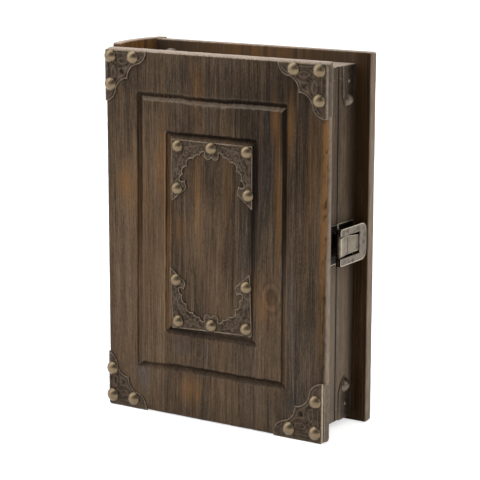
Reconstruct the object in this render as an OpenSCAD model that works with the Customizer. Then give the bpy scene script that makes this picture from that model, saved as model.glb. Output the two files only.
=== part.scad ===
// A wooden keepsake box in the shape of an old bound book, standing upright.
// Its front cover faces -Y, its curved spine -X and its fore-edge, with the latch, +X.
// Sizes are in millimetres. Pieces are laid out from the front cover's lower left corner, and
// place() then brings the middle of the whole footprint to the origin, at the level it stands on.

/* [Covers] */
// Width of both covers, from the spine side to the fore-edge
cover_w = 187; // [176:1:220]
// Height of the front cover
cover_h = 270; // [240:1:320]
// How far the back cover stands above the front cover
back_rise = 1.4; // [0:0.1:3]
// Thickness of each cover board
board_t = 9; // [8:0.5:12]
// Thickness of the closed box, over both covers
box_d = 71; // [66:1:90]
// Rounding of the front cover's outer edges
edge_r = 3; // [1:0.5:4]
// Rounding of the back cover's outer edges
back_edge_r = 1.4; // [1:0.1:4]
// Rounding of the covers' inner edges
inner_edge_r = 1.2; // [0.5:0.1:2]
// Rounding of the covers' corners, seen from the front
corner_r = 2.5; // [1:0.5:6]

/* [Routed grooves] */
// Width of the outer groove in the front cover
outer_groove_w = 4.8; // [4:0.2:8]
// Depth of the outer groove
outer_groove_depth = 2.8; // [1.5:0.1:4]
// From the cover's side edges to the middle of the outer groove
outer_groove_side = 31.5; // [28:0.5:36]
// From the cover's bottom to the middle of the outer groove's lower run
outer_groove_low = 37.2; // [32:0.2:42]
// From the cover's top to the middle of the outer groove's upper run
outer_groove_top = 32.8; // [28:0.2:38]
// Width of the inner groove
inner_groove_w = 5.2; // [4:0.2:7]
// Depth of the inner groove
inner_groove_depth = 2.4; // [1.5:0.1:4]
// From the cover's side edges to the middle of the inner groove
inner_groove_side = 56; // [50:0.5:57]
// From the cover's bottom to the middle of the inner groove's lower run
inner_groove_low = 66; // [60:0.2:66.2]
// From the cover's top to the middle of the inner groove's upper run
inner_groove_top = 60.2; // [56:0.2:60.4]

/* [Rims] */
// Thickness of the rails that make the two rims
wall_t = 9; // [6:0.5:12]
// Depth of the lid's rim, behind the front cover
lid_rim_d = 28.1; // [24:0.1:34]
// Gap between the lid's rim and the body's rim
split_gap = 0.3; // [0.2:0.1:1]
// How far the rims stand back from the covers at the fore-edge
fore_inset = 12; // [11:0.5:14]
// How far the rims stand back from the covers' top
head_inset = 7; // [5:0.5:12]
// How far the rims stand back from the covers' bottom
tail_inset = 5; // [3:0.5:10]
// How far the rims stand back from the covers' spine-side edge
spine_inset = 8; // [8:0.5:14]

/* [Spine] */
// Thickness of the curved spine board
spine_t = 6.6; // [5:0.2:8]
// How far the spine swells out past the covers' edge
spine_bulge = 6; // [4:0.5:12]
// How far the spine's two ends stand out past the covers' edge
spine_lap = 1; // [0.8:0.1:2.4]
// How far the spine stands above the front cover
spine_rise = 2.2; // [1.5:0.1:4]
// Gap between the front cover and the spine's front end, where the hinges lie
spine_gap = 3.2; // [3.2:0.1:5]

/* [Hinges] */
// Length of each hinge
hinge_len = 30; // [20:1:40]
// From the covers' ends to the middle of each hinge
hinge_end = 55; // [48:1:80]
// Diameter of the hinge pins
hinge_pin_d = 1.6; // [1.2:0.1:1.8]
// Outer diameter of the hinge knuckles
knuckle_d = 3; // [2.6:0.1:3.1]
// Thickness of the hinge leaves
leaf_t = 1; // [0.6:0.1:1.2]
// Width of the hinge leaf on the front cover
lid_leaf_w = 7.2; // [6:0.1:7.4]
// Width of the hinge leaf on the spine
body_leaf_w = 6; // [5:0.1:6.4]
// Diameter of the hinge screws
screw_d = 2; // [1.6:0.1:2.2]
// Diameter of the hinge screws' heads
screw_head_d = 3.6; // [3:0.1:4]
// Length of the hinge screws
screw_l = 7; // [5:0.5:8]

/* [Plates and studs] */
// Thickness of the pressed metal plates
plate_t = 0.8; // [0.5:0.1:1]
// Length of a corner plate's two legs
corner_leg = 38.5; // [36:0.5:44]
// How much further from the cover's end the two bottom corner plates' pattern sits
low_plate_up = 2.4; // [0:0.2:4]
// How far a corner plate is bent back over the cover's rounded edge
corner_wrap = 0.5; // [0.2:0.1:0.6]
// Width of the two plates in the middle of the cover
centre_plate_w = 68.6; // [68:0.2:70]
// Height of these plates, from the bar to the tips of the legs
centre_plate_h = 45; // [44:0.5:50]
// From the cover's top to the upper plate's bar
upper_plate_end = 62.4; // [62:0.2:70]
// From the cover's bottom to the lower plate's bar
lower_plate_end = 69; // [69:0.2:74]
// Diameter of the domed studs on the corner plates and straps
stud_d = 10; // [8:0.5:11]
// Height of these studs' domes
stud_h = 3.4; // [2:0.1:4]
// Diameter of the studs on the centre plates
centre_stud_d = 9.6; // [7:0.1:10]
// Diameter of the studs' nails
nail_d = 1.6; // [1.2:0.1:2]
// Length of the studs' nails
nail_l = 6.4; // [4:0.2:7.5]
// Width of the pointed straps on the rims
strap_w = 17; // [14:0.5:18]
// Length of the pointed straps
strap_l = 32; // [28:0.5:40]
// From a strap's square end to its stud
strap_stud = 24.5; // [20:0.5:25]
// From the square end of a strap on a rim's end to its stud
end_strap_stud = 21.3; // [18:0.1:25]
// Height of the studs on the rims' ends
end_stud_h = 2.4; // [2:0.1:3.4]
// Diameter of the small round nail head on each fore-edge strap
bump_d = 3; // [2.4:0.1:4]

/* [Latch] */
// Height of the latch's middle above the covers' bottom
latch_z = 137; // [110:1:160]
// Size of the latch's two wall plates along the fore-edge
latch_plate_h = 28.6; // [26:0.2:34]
// Thickness of the latch's sheet metal parts
latch_t = 1.5; // [1.2:0.1:1.6]
// Width of the latch frame along the fore-edge
latch_frame_w = 26.6; // [24:0.2:28]
// Width of the window in the latch frame
latch_window_w = 15.8; // [15:0.2:17]
// Width of the latch lever at its knuckles
lever_w = 13.4; // [12:0.2:13.6]
// Width of the latch lever at its finger end
lever_tip_w = 11.4; // [9:0.2:12]
// Diameter of the latch's pin
latch_pin_d = 1.6; // [1.2:0.1:1.8]
// Diameter of the frame's bar, which turns in the lever
frame_bar_d = 2.2; // [1.8:0.1:2.4]

/* [Hidden] */

$fn = 48;
// Overshoot of every cut past the face that it starts from
over = 1;
// Play round a pin that turns, and round a nail or screw that stays
pin_play = 0.05;
nail_play = 0.02;

// The rims' outer faces and the planes between the parts
rim_left = spine_inset;
rim_right = cover_w - fore_inset;
rim_low = tail_inset;
rim_high = cover_h - head_inset;
lid_back = board_t + lid_rim_d;
body_front = lid_back + split_gap;
body_back = box_d - board_t;

// The spine is an arc of a round column, from behind the front cover to the box's back
spine_front = board_t + spine_gap;
spine_half = (box_d - spine_front) / 2;
spine_sag = spine_bulge - spine_lap;
spine_r = (spine_half * spine_half + spine_sag * spine_sag) / (2 * spine_sag);
spine_in_r = spine_r - spine_t;
spine_x = spine_r - spine_bulge;
spine_y = spine_front + spine_half;
glue_gap = 0.1;

// The hinge line, in the gap between the front cover and the spine
knuckle_r = knuckle_d / 2;
hinge_x = -(knuckle_r + 0.7);
hinge_y = board_t + spine_gap / 2;
hinge_low = hinge_end;
hinge_high = cover_h - hinge_end;
knuckle_count = 3;
knuckle_gap = 0.2;
leaf_gap = 0.3;
leaf_start = hinge_x + knuckle_r + leaf_gap;
screw_x = leaf_start + body_leaf_w / 2 + 0.4;
screw_spread = hinge_len / 4;
screw_sink = (screw_head_d - screw_d) / 2 * 0.9;

// Places of the studs, measured from a corner, a bar's middle or a rim's end
stud_in = 5.4;
stud_pitch = 20.1;
leg_spot = stud_in + stud_pitch;
corner_spots = [[stud_in, stud_in], [leg_spot, stud_in], [stud_in, leg_spot]];
corner_nails = [
    for (right = [0, 1], top = [0, 1], s = corner_spots)
        [right ? cover_w - s[0] : s[0], top ? cover_h - s[1] : s[1] + low_plate_up]
];
bar_stud_in = 5;
bar_stud_down = 4.6;
leg_stud_in = 4.4;
leg_stud_up = 9.6;
bar_stud_x = centre_plate_w / 2 - bar_stud_in;
leg_stud_x = centre_plate_w / 2 - leg_stud_in;
leg_stud_down = centre_plate_h - leg_stud_up;
centre_spots = [
    [-bar_stud_x, bar_stud_down], [0, bar_stud_down], [bar_stud_x, bar_stud_down],
    [-leg_stud_x, leg_stud_down], [leg_stud_x, leg_stud_down]
];
upper_bar_z = cover_h - upper_plate_end;
lower_bar_z = lower_plate_end;
centre_nails = [
    for (s = centre_spots) each [
        [cover_w / 2 + s[0], upper_bar_z - s[1]],
        [cover_w / 2 + s[0], lower_bar_z + s[1]]
    ]
];
bump_up = 11;
bump_l = 5;
bump_nail_d = 1.2;
strap_shift = 0.6;
lid_strap_in = 2;
lid_strap_y = board_t + lid_strap_in + strap_w / 2;
body_strap_y = (body_front + body_back) / 2 + strap_shift;
end_strap_gap = 0.4;
end_strap_reach = body_strap_y + strap_w / 2 - spine_y;
end_strap_x = spine_x - sqrt(spine_in_r * spine_in_r - end_strap_reach * end_strap_reach) + end_strap_gap;

// The latch's plates and pins, measured out from the fore-edge and back from the front cover
latch_plate_t = 0.8;
plate_edge_gap = 0.2;
latch_base_l = 16.6;
latch_base_y = lid_back - latch_base_l;
lever_pin_out = 7.6;
lever_pin_back = 7.5;
lever_pin = [lever_pin_out, lid_back - lever_pin_back];
lever_pin_r = 1.7;
frame_pin_out = 8.2;
frame_pin_back = 4.4;
frame_pin = [frame_pin_out, lever_pin[1] - frame_pin_back];
frame_pin_r = 1.9;

// The latch's frame ends just in front of the back cover, and its window just past the lever
frame_out = 10.8;
frame_eye_r = 1.8;
frame_neck = 1.6;
frame_lead = 1.4;
frame_back_gap = 0.8;
frame_bar_w = 10.2;
frame_corner_r = 6.5;
frame_start = frame_pin[1] - frame_lead;
frame_end = body_back - frame_back_gap;
window_end = frame_end - frame_bar_w;
flange_t = 1.3;
flange_out = 6;
flange_l = 6;

// The lever is creased over the split between lid and body, and its tip stands out for a finger
lever_t = 1.2;
lever_tip_gap = 0.6;
crease_out = 7.9;
tip_out = 9.6;
crease_back = 0.4;
lever_crease = [crease_out, lid_back + crease_back];
lever_tip = [tip_out, window_end - lever_tip_gap];

// The keeper's hook lies under the frame's bar, in front of its flange
hook_out = 5.6;
hook_w = 12;
hook_t = 1.2;
hook_l = 5;
hook_gap = 1.2;
hook_end = frame_end - flange_t - hook_gap;
hook_start = hook_end - hook_l;
keeper_end = frame_end - flange_t;

// The two ears that hold the lever's pin stand beside the lever, inside the frame's window
ear_t = 0.8;
ear_gap = 0.2;
ear_foot_l = 3.2;
ear_in = lever_w / 2 + ear_gap;
ear_shoulder = [0.8, 0.6] * lever_pin_r;

latch_nail_d = 1.2;
latch_nail_head_d = 2.6;
latch_nail_head_h = 0.7;
latch_nail_l = 6;
base_nail_in = 2.2;
base_nail_z = 10.5;
keeper_nail_in = 4;
keeper_nail_z = 8.6;
base_nails = [for (side = [-1, 1]) [latch_base_y + base_nail_in, side * base_nail_z]];
keeper_nails = [for (side = [-1, 1]) [body_front + keeper_nail_in, side * keeper_nail_z]];

// The middle of the whole footprint, studs, spine and latch included
reach_x = max(cover_w, rim_right + frame_out);
mid_x = (reach_x - spine_bulge) / 2;
mid_y = (box_d - plate_t - stud_h) / 2;

wood = [0.33, 0.25, 0.19];
wood_rim = [0.28, 0.22, 0.18];
plate_metal = [0.33, 0.30, 0.27];
stud_metal = [0.58, 0.52, 0.42];
latch_metal = [0.50, 0.47, 0.41];
hinge_metal = [0.55, 0.50, 0.38];

module place() {
    translate([-mid_x, -mid_y, 0]) children();
}

// A flat shape turned to stand on the front face, the fore-edge or a rim's end
module on_front() {
    rotate([90, 0, 0]) children();
}

module on_fore_edge() {
    rotate([90, 0, 90]) children();
}

// The sliver between a square corner and its rounding
module corner_sliver(r) {
    difference() {
        translate([-over, -over]) square(r + over);
        translate([r, r]) circle(r);
    }
}

// A rectangle whose corners are rounded by r, listed anticlockwise from its lower left
module soft_rect(w, h, r) {
    difference() {
        square([w, h]);
        corner_sliver(r[0]);
        translate([w, 0]) mirror([1, 0]) corner_sliver(r[1]);
        translate([w, h]) mirror([1, 0]) mirror([0, 1]) corner_sliver(r[2]);
        translate([0, h]) mirror([0, 1]) corner_sliver(r[3]);
    }
}

// A cover board with its outer face at y = 0, rounded on all its edges, and grown all round by g
module board(w, g = 0, h = cover_h, r = edge_r) {
    out_r = r + g;
    in_r = inner_edge_r + g;
    face_r = corner_r + g;
    translate([-g, -g, -g]) intersection() {
        linear_extrude(h + 2 * g)
            soft_rect(w + 2 * g, board_t + 2 * g, [out_r, out_r, in_r, in_r]);
        on_fore_edge() linear_extrude(w + 2 * g)
            soft_rect(board_t + 2 * g, h + 2 * g, [out_r, in_r, in_r, out_r]);
        translate([0, board_t + 2 * g, 0]) on_front() linear_extrude(board_t + 2 * g)
            soft_rect(w + 2 * g, h + 2 * g, [face_r, face_r, face_r, face_r]);
    }
}

// One straight run of a V groove, along +X from the origin, cut into a face at y = 0
module groove_run(length, w, depth) {
    rotate([90, 0, 90]) linear_extrude(length)
        polygon([[-over, -w / 2], [0, -w / 2], [depth, 0], [0, w / 2], [-over, w / 2]]);
}

// The round end that the cutter leaves where two runs meet
module groove_corner(w, depth) {
    rotate([-90, 0, 0]) {
        cylinder(h = depth, r1 = w / 2, r2 = 0);
        translate([0, 0, -over]) cylinder(h = over, d = w);
    }
}

// A groove round the cover, its middle at the given distances from the sides, the bottom and the top
module groove(side, low, top, w, depth) {
    high = cover_h - top;
    for (x = [side, cover_w - side], z = [low, high])
        translate([x, 0, z]) groove_corner(w, depth);
    for (z = [low, high])
        translate([side, 0, z]) groove_run(cover_w - 2 * side, w, depth);
    for (x = [side, cover_w - side])
        translate([x, 0, high]) rotate([0, 90, 0]) groove_run(high - low, w, depth);
}

// Everything outside the spine's hollow side, which trims what meets the spine
module beyond_spine(z0, height, gap = 0) {
    translate([0, 0, z0]) difference() {
        translate([-spine_bulge - over, spine_front, 0])
            cube([spine_x + spine_bulge + over, box_d - spine_front + over, height]);
        translate([spine_x, spine_y, -over])
            cylinder(h = height + 2 * over, r = spine_in_r - gap, $fn = 180);
    }
}

// Holes for nails driven square into the front face, the fore-edge or a rim's end
module front_holes(spots, depth) {
    for (s = spots)
        translate([s[0], 0, s[1]]) rotate([-90, 0, 0]) translate([0, 0, -over])
            cylinder(h = depth + over, d = nail_d + nail_play * 2);
}

module fore_hole(y, z, d, depth) {
    translate([rim_right - depth, y, z]) rotate([0, 90, 0])
        cylinder(h = depth + over, d = d + nail_play * 2);
}

module fore_strap_holes(y, z, dir) {
    fore_hole(y, z + dir * strap_stud, nail_d, nail_l - plate_t);
    fore_hole(y, z + dir * bump_up, bump_nail_d, bump_l - plate_t);
}

module hinge_screw_holes(y, dir) {
    for (z = [hinge_low, hinge_high], side = [-1, 1])
        translate([screw_x, y, z + side * screw_spread]) rotate([-90 * dir, 0, 0])
            translate([0, 0, -over]) cylinder(h = screw_l - leaf_t + over, d = screw_d + nail_play * 2);
}

module front_cover() {
    color(wood) place() difference() {
        board(cover_w);
        groove(outer_groove_side, outer_groove_low, outer_groove_top, outer_groove_w, outer_groove_depth);
        groove(inner_groove_side, inner_groove_low, inner_groove_top, inner_groove_w, inner_groove_depth);
        front_holes(concat(corner_nails, centre_nails), nail_l - plate_t);
        hinge_screw_holes(board_t, -1);
    }
}

module back_cover() {
    color(wood) place() difference() {
        translate([-spine_bulge, box_d, 0]) mirror([0, 1, 0])
            board(cover_w + spine_bulge, 0, cover_h + back_rise, back_edge_r);
        beyond_spine(-over, cover_h + back_rise + 2 * over);
    }
}

module spine_board() {
    color(wood) place() difference() {
        intersection() {
            translate([spine_x, spine_y, 0]) cylinder(h = cover_h + spine_rise, r = spine_r, $fn = 180);
            translate([-spine_bulge - over, spine_front, -over])
                cube([spine_x + spine_bulge + over, box_d - spine_front, cover_h + spine_rise + 2 * over]);
        }
        translate([spine_x, spine_y, -over])
            cylinder(h = cover_h + spine_rise + 2 * over, r = spine_in_r, $fn = 180);
        hinge_screw_holes(spine_front, 1);
    }
}

// A straight rail of a rim, between two corners
module rail(low, high) {
    translate(low) cube(high - low);
}

module lid_top_rail() {
    color(wood_rim) place()
        rail([rim_left, board_t, rim_high - wall_t], [rim_right, lid_back, rim_high]);
}

module lid_bottom_rail() {
    color(wood_rim) place() rail([rim_left, board_t, rim_low], [rim_right, lid_back, rim_low + wall_t]);
}

module lid_fore_rail() {
    color(wood_rim) place() difference() {
        rail([rim_right - wall_t, board_t, rim_low + wall_t], [rim_right, lid_back, rim_high - wall_t]);
        fore_strap_holes(lid_strap_y, rim_high, -1);
        fore_strap_holes(lid_strap_y, rim_low, 1);
        for (n = base_nails)
            fore_hole(n[0], latch_z + n[1], latch_nail_d, latch_nail_l - latch_plate_t);
    }
}

module lid_spine_rail() {
    color(wood_rim) place()
        rail([rim_left, board_t, rim_low + wall_t], [rim_left + wall_t, lid_back, rim_high - wall_t]);
}

module body_end_rail(z0) {
    difference() {
        rail([-spine_bulge, body_front, z0], [rim_right, body_back, z0 + wall_t]);
        beyond_spine(z0 - over, wall_t + 2 * over, glue_gap);
    }
}

module spine_strap_hole(z) {
    translate([end_strap_x + end_strap_stud, body_strap_y, z])
        cylinder(h = 2 * (nail_l - plate_t), d = nail_d + nail_play * 2, center = true);
}

module body_top_rail() {
    color(wood_rim) place() difference() {
        body_end_rail(rim_high - wall_t);
        spine_strap_hole(rim_high);
    }
}

module body_bottom_rail() {
    color(wood_rim) place() difference() {
        body_end_rail(rim_low);
        spine_strap_hole(rim_low);
    }
}

module body_fore_rail() {
    color(wood_rim) place() difference() {
        rail([rim_right - wall_t, body_front, rim_low + wall_t], [rim_right, body_back, rim_high - wall_t]);
        fore_strap_holes(body_strap_y, rim_high, -1);
        fore_strap_holes(body_strap_y, rim_low, 1);
        for (n = keeper_nails)
            fore_hole(n[0], latch_z + n[1], latch_nail_d, latch_nail_l - latch_plate_t);
    }
}

module body_spine_rail() {
    color(wood_rim) place()
        rail([rim_left, body_front, rim_low + wall_t], [rim_left + wall_t, body_back, rim_high - wall_t]);
}

// Corner plate outline: each leg ends in a round lobe, and a hollow scallop on each side of the
// diagonal leaves a point between them
lobe_in = 11;
lobe_r = 10.4;
scallop_at = [corner_leg - 7, 20.5];
corner_scallop_r = 10.6;
point_in = corner_leg - 17.3;
lobe_joint = [corner_leg - 8.5, 10];

module corner_outline(up) {
    foot = up + over;
    translate([0, up]) difference() {
        intersection() {
            translate([-over, -foot]) square([corner_leg + over, corner_leg + foot]);
            union() {
                polygon([
                    [-over, -foot], [corner_leg - lobe_in, -foot], lobe_joint, [point_in, point_in],
                    [lobe_joint[1], lobe_joint[0]], [-over, corner_leg - lobe_in]
                ]);
                translate([corner_leg - lobe_in, -up]) circle(lobe_r);
                translate([0, corner_leg - lobe_in]) circle(lobe_r);
            }
        }
        translate(scallop_at) circle(corner_scallop_r);
        translate([scallop_at[1], scallop_at[0]]) circle(corner_scallop_r);
        for (s = corner_spots) translate(s) circle(d = nail_d + nail_play * 2);
    }
}

// The plate is as thick as the shell between the cover and the cover grown by the plate's thickness
module corner_plate(right, top) {
    color(plate_metal) place() translate([right ? cover_w : 0, 0, top ? cover_h : 0])
        mirror([right, 0, 0]) mirror([0, 0, top]) difference() {
            intersection() {
                board(cover_w, plate_t);
                translate([0, corner_wrap, 0]) on_front() linear_extrude(corner_wrap + plate_t + over)
                    corner_outline(top ? 0 : low_plate_up);
            }
            board(cover_w);
        }
}

// Centre plate outline: a bar with two legs round a scalloped arch, measured from the bar's middle
// and down from its edge; each leg carries a small leaf beside its stud and ends in a point
arch_cusps = [[6.2, 7.2], [10.1, 10.3], [15.4, 13.3], [20.6, 19], [24.5, 25.1], [27.4, 29.7]];
arch_middle = [0, 35];
arch_scallop_r = 4;
pendant_at = [3.1, 9.5];
pendant_r = 3.2;
leaf_at = [25.3, 33.5];
leaf_r = 3.6;
leaf_tip = [22.8, 29];
leg_heel = [24.2, 37.3];
leg_slope = [28.8, 40.9];
leg_toe = [centre_plate_w / 2 - 0.5, centre_plate_h];

// The middle of the circle of radius r through p and q, on the side where m lies
function bow_centre(p, q, r, m) =
    let (mid = (p + q) / 2, d = q - p, n = [-d[1], d[0]] / norm(d),
         side = n * (m - mid) > 0 ? 1 : -1)
    mid + side * n * sqrt(r * r - d * d / 4);

scallops = [
    for (i = [0 : len(arch_cusps) - 2])
        bow_centre(arch_cusps[i], arch_cusps[i + 1], arch_scallop_r, arch_middle)
];
arch_side = concat(scallops, [leaf_at, leg_heel, leg_slope, 2 * leg_toe - leg_slope]);
arch_count = len(arch_side);

module arch() {
    other_side = [for (i = [1 : arch_count]) [-arch_side[arch_count - i][0], arch_side[arch_count - i][1]]];
    polygon(concat(arch_side, other_side));
    for (side = [-1, 1], c = scallops) translate([side * c[0], c[1]]) circle(arch_scallop_r);
}

module half_leaf() {
    translate(leaf_at) circle(leaf_r);
    polygon([leaf_tip, leaf_at + [leaf_r, -leaf_r] / 2, leaf_at - [leaf_r, 0] * 0.8]);
}

module centre_outline() {
    difference() {
        translate([-centre_plate_w / 2, 0]) square([centre_plate_w, centre_plate_h]);
        difference() {
            arch();
            for (side = [0, 1]) mirror([side, 0]) {
                half_leaf();
                translate(pendant_at) circle(pendant_r);
            }
            translate([-pendant_at[0], 0]) square([2 * pendant_at[0], pendant_at[1]]);
        }
        for (s = centre_spots) translate(s) circle(d = nail_d + nail_play * 2);
    }
}

module centre_plate_upper() {
    color(plate_metal) place() translate([cover_w / 2, 0, upper_bar_z]) mirror([0, 0, 1])
        on_front() linear_extrude(plate_t) centre_outline();
}

module centre_plate_lower() {
    color(plate_metal) place() translate([cover_w / 2, 0, lower_bar_z])
        on_front() linear_extrude(plate_t) centre_outline();
}

// A domed stud on its nail, head up, the underside of the head at the origin
module stud(d, h, shank_d, shank_l) {
    r = d / 2;
    ball_r = (r * r + h * h) / (2 * h);
    intersection() {
        translate([0, 0, h - ball_r]) sphere(ball_r);
        cylinder(h = h + over, r = r + over);
    }
    translate([0, 0, -shank_l]) cylinder(h = shank_l + h / 3, d = shank_d);
}

module front_studs(spots, d) {
    for (s = spots)
        translate([s[0], -plate_t, s[1]]) rotate([90, 0, 0]) stud(d, stud_h, nail_d, nail_l);
}

module corner_studs() {
    color(stud_metal) place() front_studs(corner_nails, stud_d);
}

module centre_studs() {
    color(stud_metal) place() front_studs(centre_nails, centre_stud_d);
}

// A strap with a pointed end, standing up from the origin
module strap_outline(bump, spot) {
    point_l = strap_w * sqrt(3) / 2;
    difference() {
        union() {
            translate([-strap_w / 2, 0]) square([strap_w, strap_l - point_l]);
            translate([0, strap_l - point_l]) intersection() {
                translate([-strap_w / 2, 0]) circle(strap_w);
                translate([strap_w / 2, 0]) circle(strap_w);
                translate([-strap_w / 2, -over]) square([strap_w, point_l + over]);
            }
        }
        translate([0, spot]) circle(d = nail_d + nail_play * 2);
        if (bump) translate([0, bump_up]) circle(d = bump_nail_d + nail_play * 2);
    }
}

module fore_strap(y, top) {
    color(plate_metal) place() translate([rim_right, y, top ? rim_high : rim_low])
        mirror([0, 0, top]) on_fore_edge() linear_extrude(plate_t) strap_outline(true, strap_stud);
}

module fore_studs(y) {
    color(stud_metal) place()
        for (z = [rim_low + strap_stud, rim_high - strap_stud])
            translate([rim_right + plate_t, y, z]) rotate([0, 90, 0]) stud(stud_d, stud_h, nail_d, nail_l);
}

module fore_nails(y) {
    color(stud_metal) place()
        for (z = [rim_low + bump_up, rim_high - bump_up])
            translate([rim_right + plate_t, y, z]) rotate([0, 90, 0])
                stud(bump_d, bump_d / 3, bump_nail_d, bump_l);
}

// The straps at the spine side lie on the rims' ends and point towards the fore-edge
module spine_strap(top) {
    color(plate_metal) place() translate([end_strap_x, body_strap_y, top ? rim_high : rim_low])
        mirror([0, 0, top ? 0 : 1]) linear_extrude(plate_t) rotate(-90) strap_outline(false, end_strap_stud);
}

module spine_strap_studs() {
    color(stud_metal) place() {
        translate([end_strap_x + end_strap_stud, body_strap_y, rim_high + plate_t])
            stud(stud_d, end_stud_h, nail_d, nail_l);
        translate([end_strap_x + end_strap_stud, body_strap_y, rim_low - plate_t])
            mirror([0, 0, 1]) stud(stud_d, end_stud_h, nail_d, nail_l);
    }
}

// A hinge leaf lying at y0 to y0 + leaf_t, with the knuckles whose number is odd or even
module hinge_leaf(z, y0, leaf_w, odd, head_dir) {
    pitch = hinge_len / knuckle_count;
    color(hinge_metal) place() translate([0, 0, z - hinge_len / 2]) difference() {
        union() {
            translate([leaf_start, y0, 0]) cube([leaf_w, leaf_t, hinge_len]);
            for (i = [0 : knuckle_count - 1])
                if (i % 2 == odd) translate([0, 0, i * pitch + knuckle_gap / 2]) {
                    translate([hinge_x, hinge_y, 0]) cylinder(h = pitch - knuckle_gap, r = knuckle_r);
                    translate([hinge_x, y0, 0])
                        cube([leaf_start - hinge_x + leaf_gap, leaf_t, pitch - knuckle_gap]);
                }
        }
        translate([hinge_x, hinge_y, -over])
            cylinder(h = hinge_len + 2 * over, d = hinge_pin_d + pin_play * 2);
        for (side = [-1, 1])
            translate([screw_x, y0 + leaf_t / 2, hinge_len / 2 + side * screw_spread])
                rotate([90 * head_dir, 0, 0]) {
                    translate([0, 0, -leaf_t]) cylinder(h = 2 * leaf_t, d = screw_d + nail_play * 2);
                    translate([0, 0, leaf_t / 2 - screw_sink]) screw_cone(nail_play);
                }
    }
}

module screw_cone(play) {
    cylinder(h = screw_sink, d1 = screw_d + play * 2, d2 = screw_head_d + play * 2);
}

module hinge_pin(z) {
    color(hinge_metal) place() translate([hinge_x, hinge_y, z])
        cylinder(h = hinge_len, d = hinge_pin_d, center = true);
}

module hinge_screws(y_head, head_dir) {
    color(hinge_metal) place()
        for (z = [hinge_low, hinge_high], side = [-1, 1])
            translate([screw_x, y_head, z + side * screw_spread]) rotate([90 * head_dir, 0, 0]) {
                translate([0, 0, -screw_sink]) screw_cone(0);
                translate([0, 0, -screw_l]) cylinder(h = screw_l - screw_sink, d = screw_d);
            }
}

// Latch parts are laid out from the fore-edge's face, out along X and back along Y
module at_latch() {
    translate([rim_right, 0, latch_z]) children();
}

// A flat shape in the latch's plane, as deep as w along the fore-edge and centred on it
module latch_slab(w) {
    linear_extrude(w, center = true) children();
}

module latch_plate(y0, y1, spots) {
    difference() {
        translate([0, y0, -latch_plate_h / 2]) cube([latch_plate_t, y1 - y0, latch_plate_h]);
        for (n = spots) translate([-over, n[0], n[1]]) rotate([0, 90, 0])
            cylinder(h = latch_plate_t + 2 * over, d = latch_nail_d + nail_play * 2);
    }
}

module latch_base() {
    ear_foot = lid_back - 2 * plate_edge_gap;
    color(latch_metal) place() at_latch() {
        latch_plate(latch_base_y, lid_back - plate_edge_gap, base_nails);
        for (side = [-1, 1]) translate([0, 0, side * (ear_in + ear_t / 2)]) latch_slab(ear_t)
            difference() {
                union() {
                    translate(lever_pin) circle(lever_pin_r);
                    polygon([
                        lever_pin - [lever_pin_r, 0], [latch_plate_t / 2, ear_foot - ear_foot_l],
                        [latch_plate_t / 2, ear_foot], lever_pin + ear_shoulder
                    ]);
                }
                translate(lever_pin) circle(d = latch_pin_d + nail_play * 2);
            }
    }
}

module latch_pin() {
    color(stud_metal) place() at_latch() translate([lever_pin[0], lever_pin[1], 0])
        cylinder(h = 2 * (ear_in + ear_t), d = latch_pin_d, center = true);
}

// The lever: a creased tongue with a rolled end round the frame's bar and a barrel on the pin
module latch_lever() {
    half_t = lever_t / 2;
    rolled_top = frame_pin + [frame_pin_r - half_t, 0];
    rolled_end = frame_pin[1] - frame_pin_r - over;
    color(latch_metal) place() at_latch() difference() {
        intersection() {
            latch_slab(lever_w) union() {
                translate(frame_pin) circle(frame_pin_r);
                translate(lever_pin) circle(lever_pin_r);
                polygon([
                    rolled_top + [half_t, 0], lever_crease + [half_t, 0], lever_tip + [half_t, 0],
                    lever_tip + [-half_t, 0], lever_crease + [-half_t, 0], rolled_top + [-half_t, 0]
                ]);
            }
            rotate([0, 90, 0]) linear_extrude(2 * frame_out) polygon([
                [-lever_w / 2, rolled_end], [lever_w / 2, rolled_end], [lever_w / 2, lever_crease[1]],
                [lever_tip_w / 2, lever_tip[1]], [-lever_tip_w / 2, lever_tip[1]],
                [-lever_w / 2, lever_crease[1]]
            ]);
        }
        translate([lever_pin[0], lever_pin[1], 0])
            cylinder(h = lever_w + 2 * over, d = latch_pin_d + pin_play * 2, center = true);
        translate([frame_pin[0], frame_pin[1], 0])
            cylinder(h = lever_w + 2 * over, d = frame_bar_d + pin_play * 2, center = true);
    }
}

// The frame's outline in the plane of the fore-edge: square at the knuckle, round at the far end
module frame_outline(inset, from) {
    w = latch_frame_w - 2 * inset;
    r = frame_corner_r - inset;
    translate([-w / 2, from]) soft_rect(w, frame_end - inset - from, [0.01, 0.01, r, r]);
}

module latch_frame() {
    arm_w = (latch_frame_w - latch_window_w) / 2;
    color(latch_metal) place() at_latch() {
        translate([frame_out - latch_t, 0, 0]) rotate([0, 90, 0]) linear_extrude(latch_t)
            difference() {
                frame_outline(0, frame_start);
                translate([-latch_window_w / 2, frame_start - over])
                    square([latch_window_w, window_end - frame_start + over]);
            }
        translate([flange_out, 0, 0]) rotate([0, 90, 0]) linear_extrude(frame_out - latch_t / 2 - flange_out)
            difference() {
                frame_outline(0, frame_end - flange_l);
                frame_outline(flange_t, frame_end - flange_l - over);
            }
        for (side = [-1, 1]) translate([0, 0, side * (latch_window_w + arm_w) / 2]) latch_slab(arm_w) {
            translate(frame_pin) circle(frame_eye_r);
            polygon([
                frame_pin - [0, frame_neck], [frame_out - latch_t / 4, frame_start],
                [frame_out - latch_t, frame_start + 2 * latch_t], frame_pin + [0, frame_neck]
            ]);
        }
        translate([frame_pin[0], frame_pin[1], 0])
            cylinder(h = latch_window_w + arm_w, d = frame_bar_d, center = true);
    }
}

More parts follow.
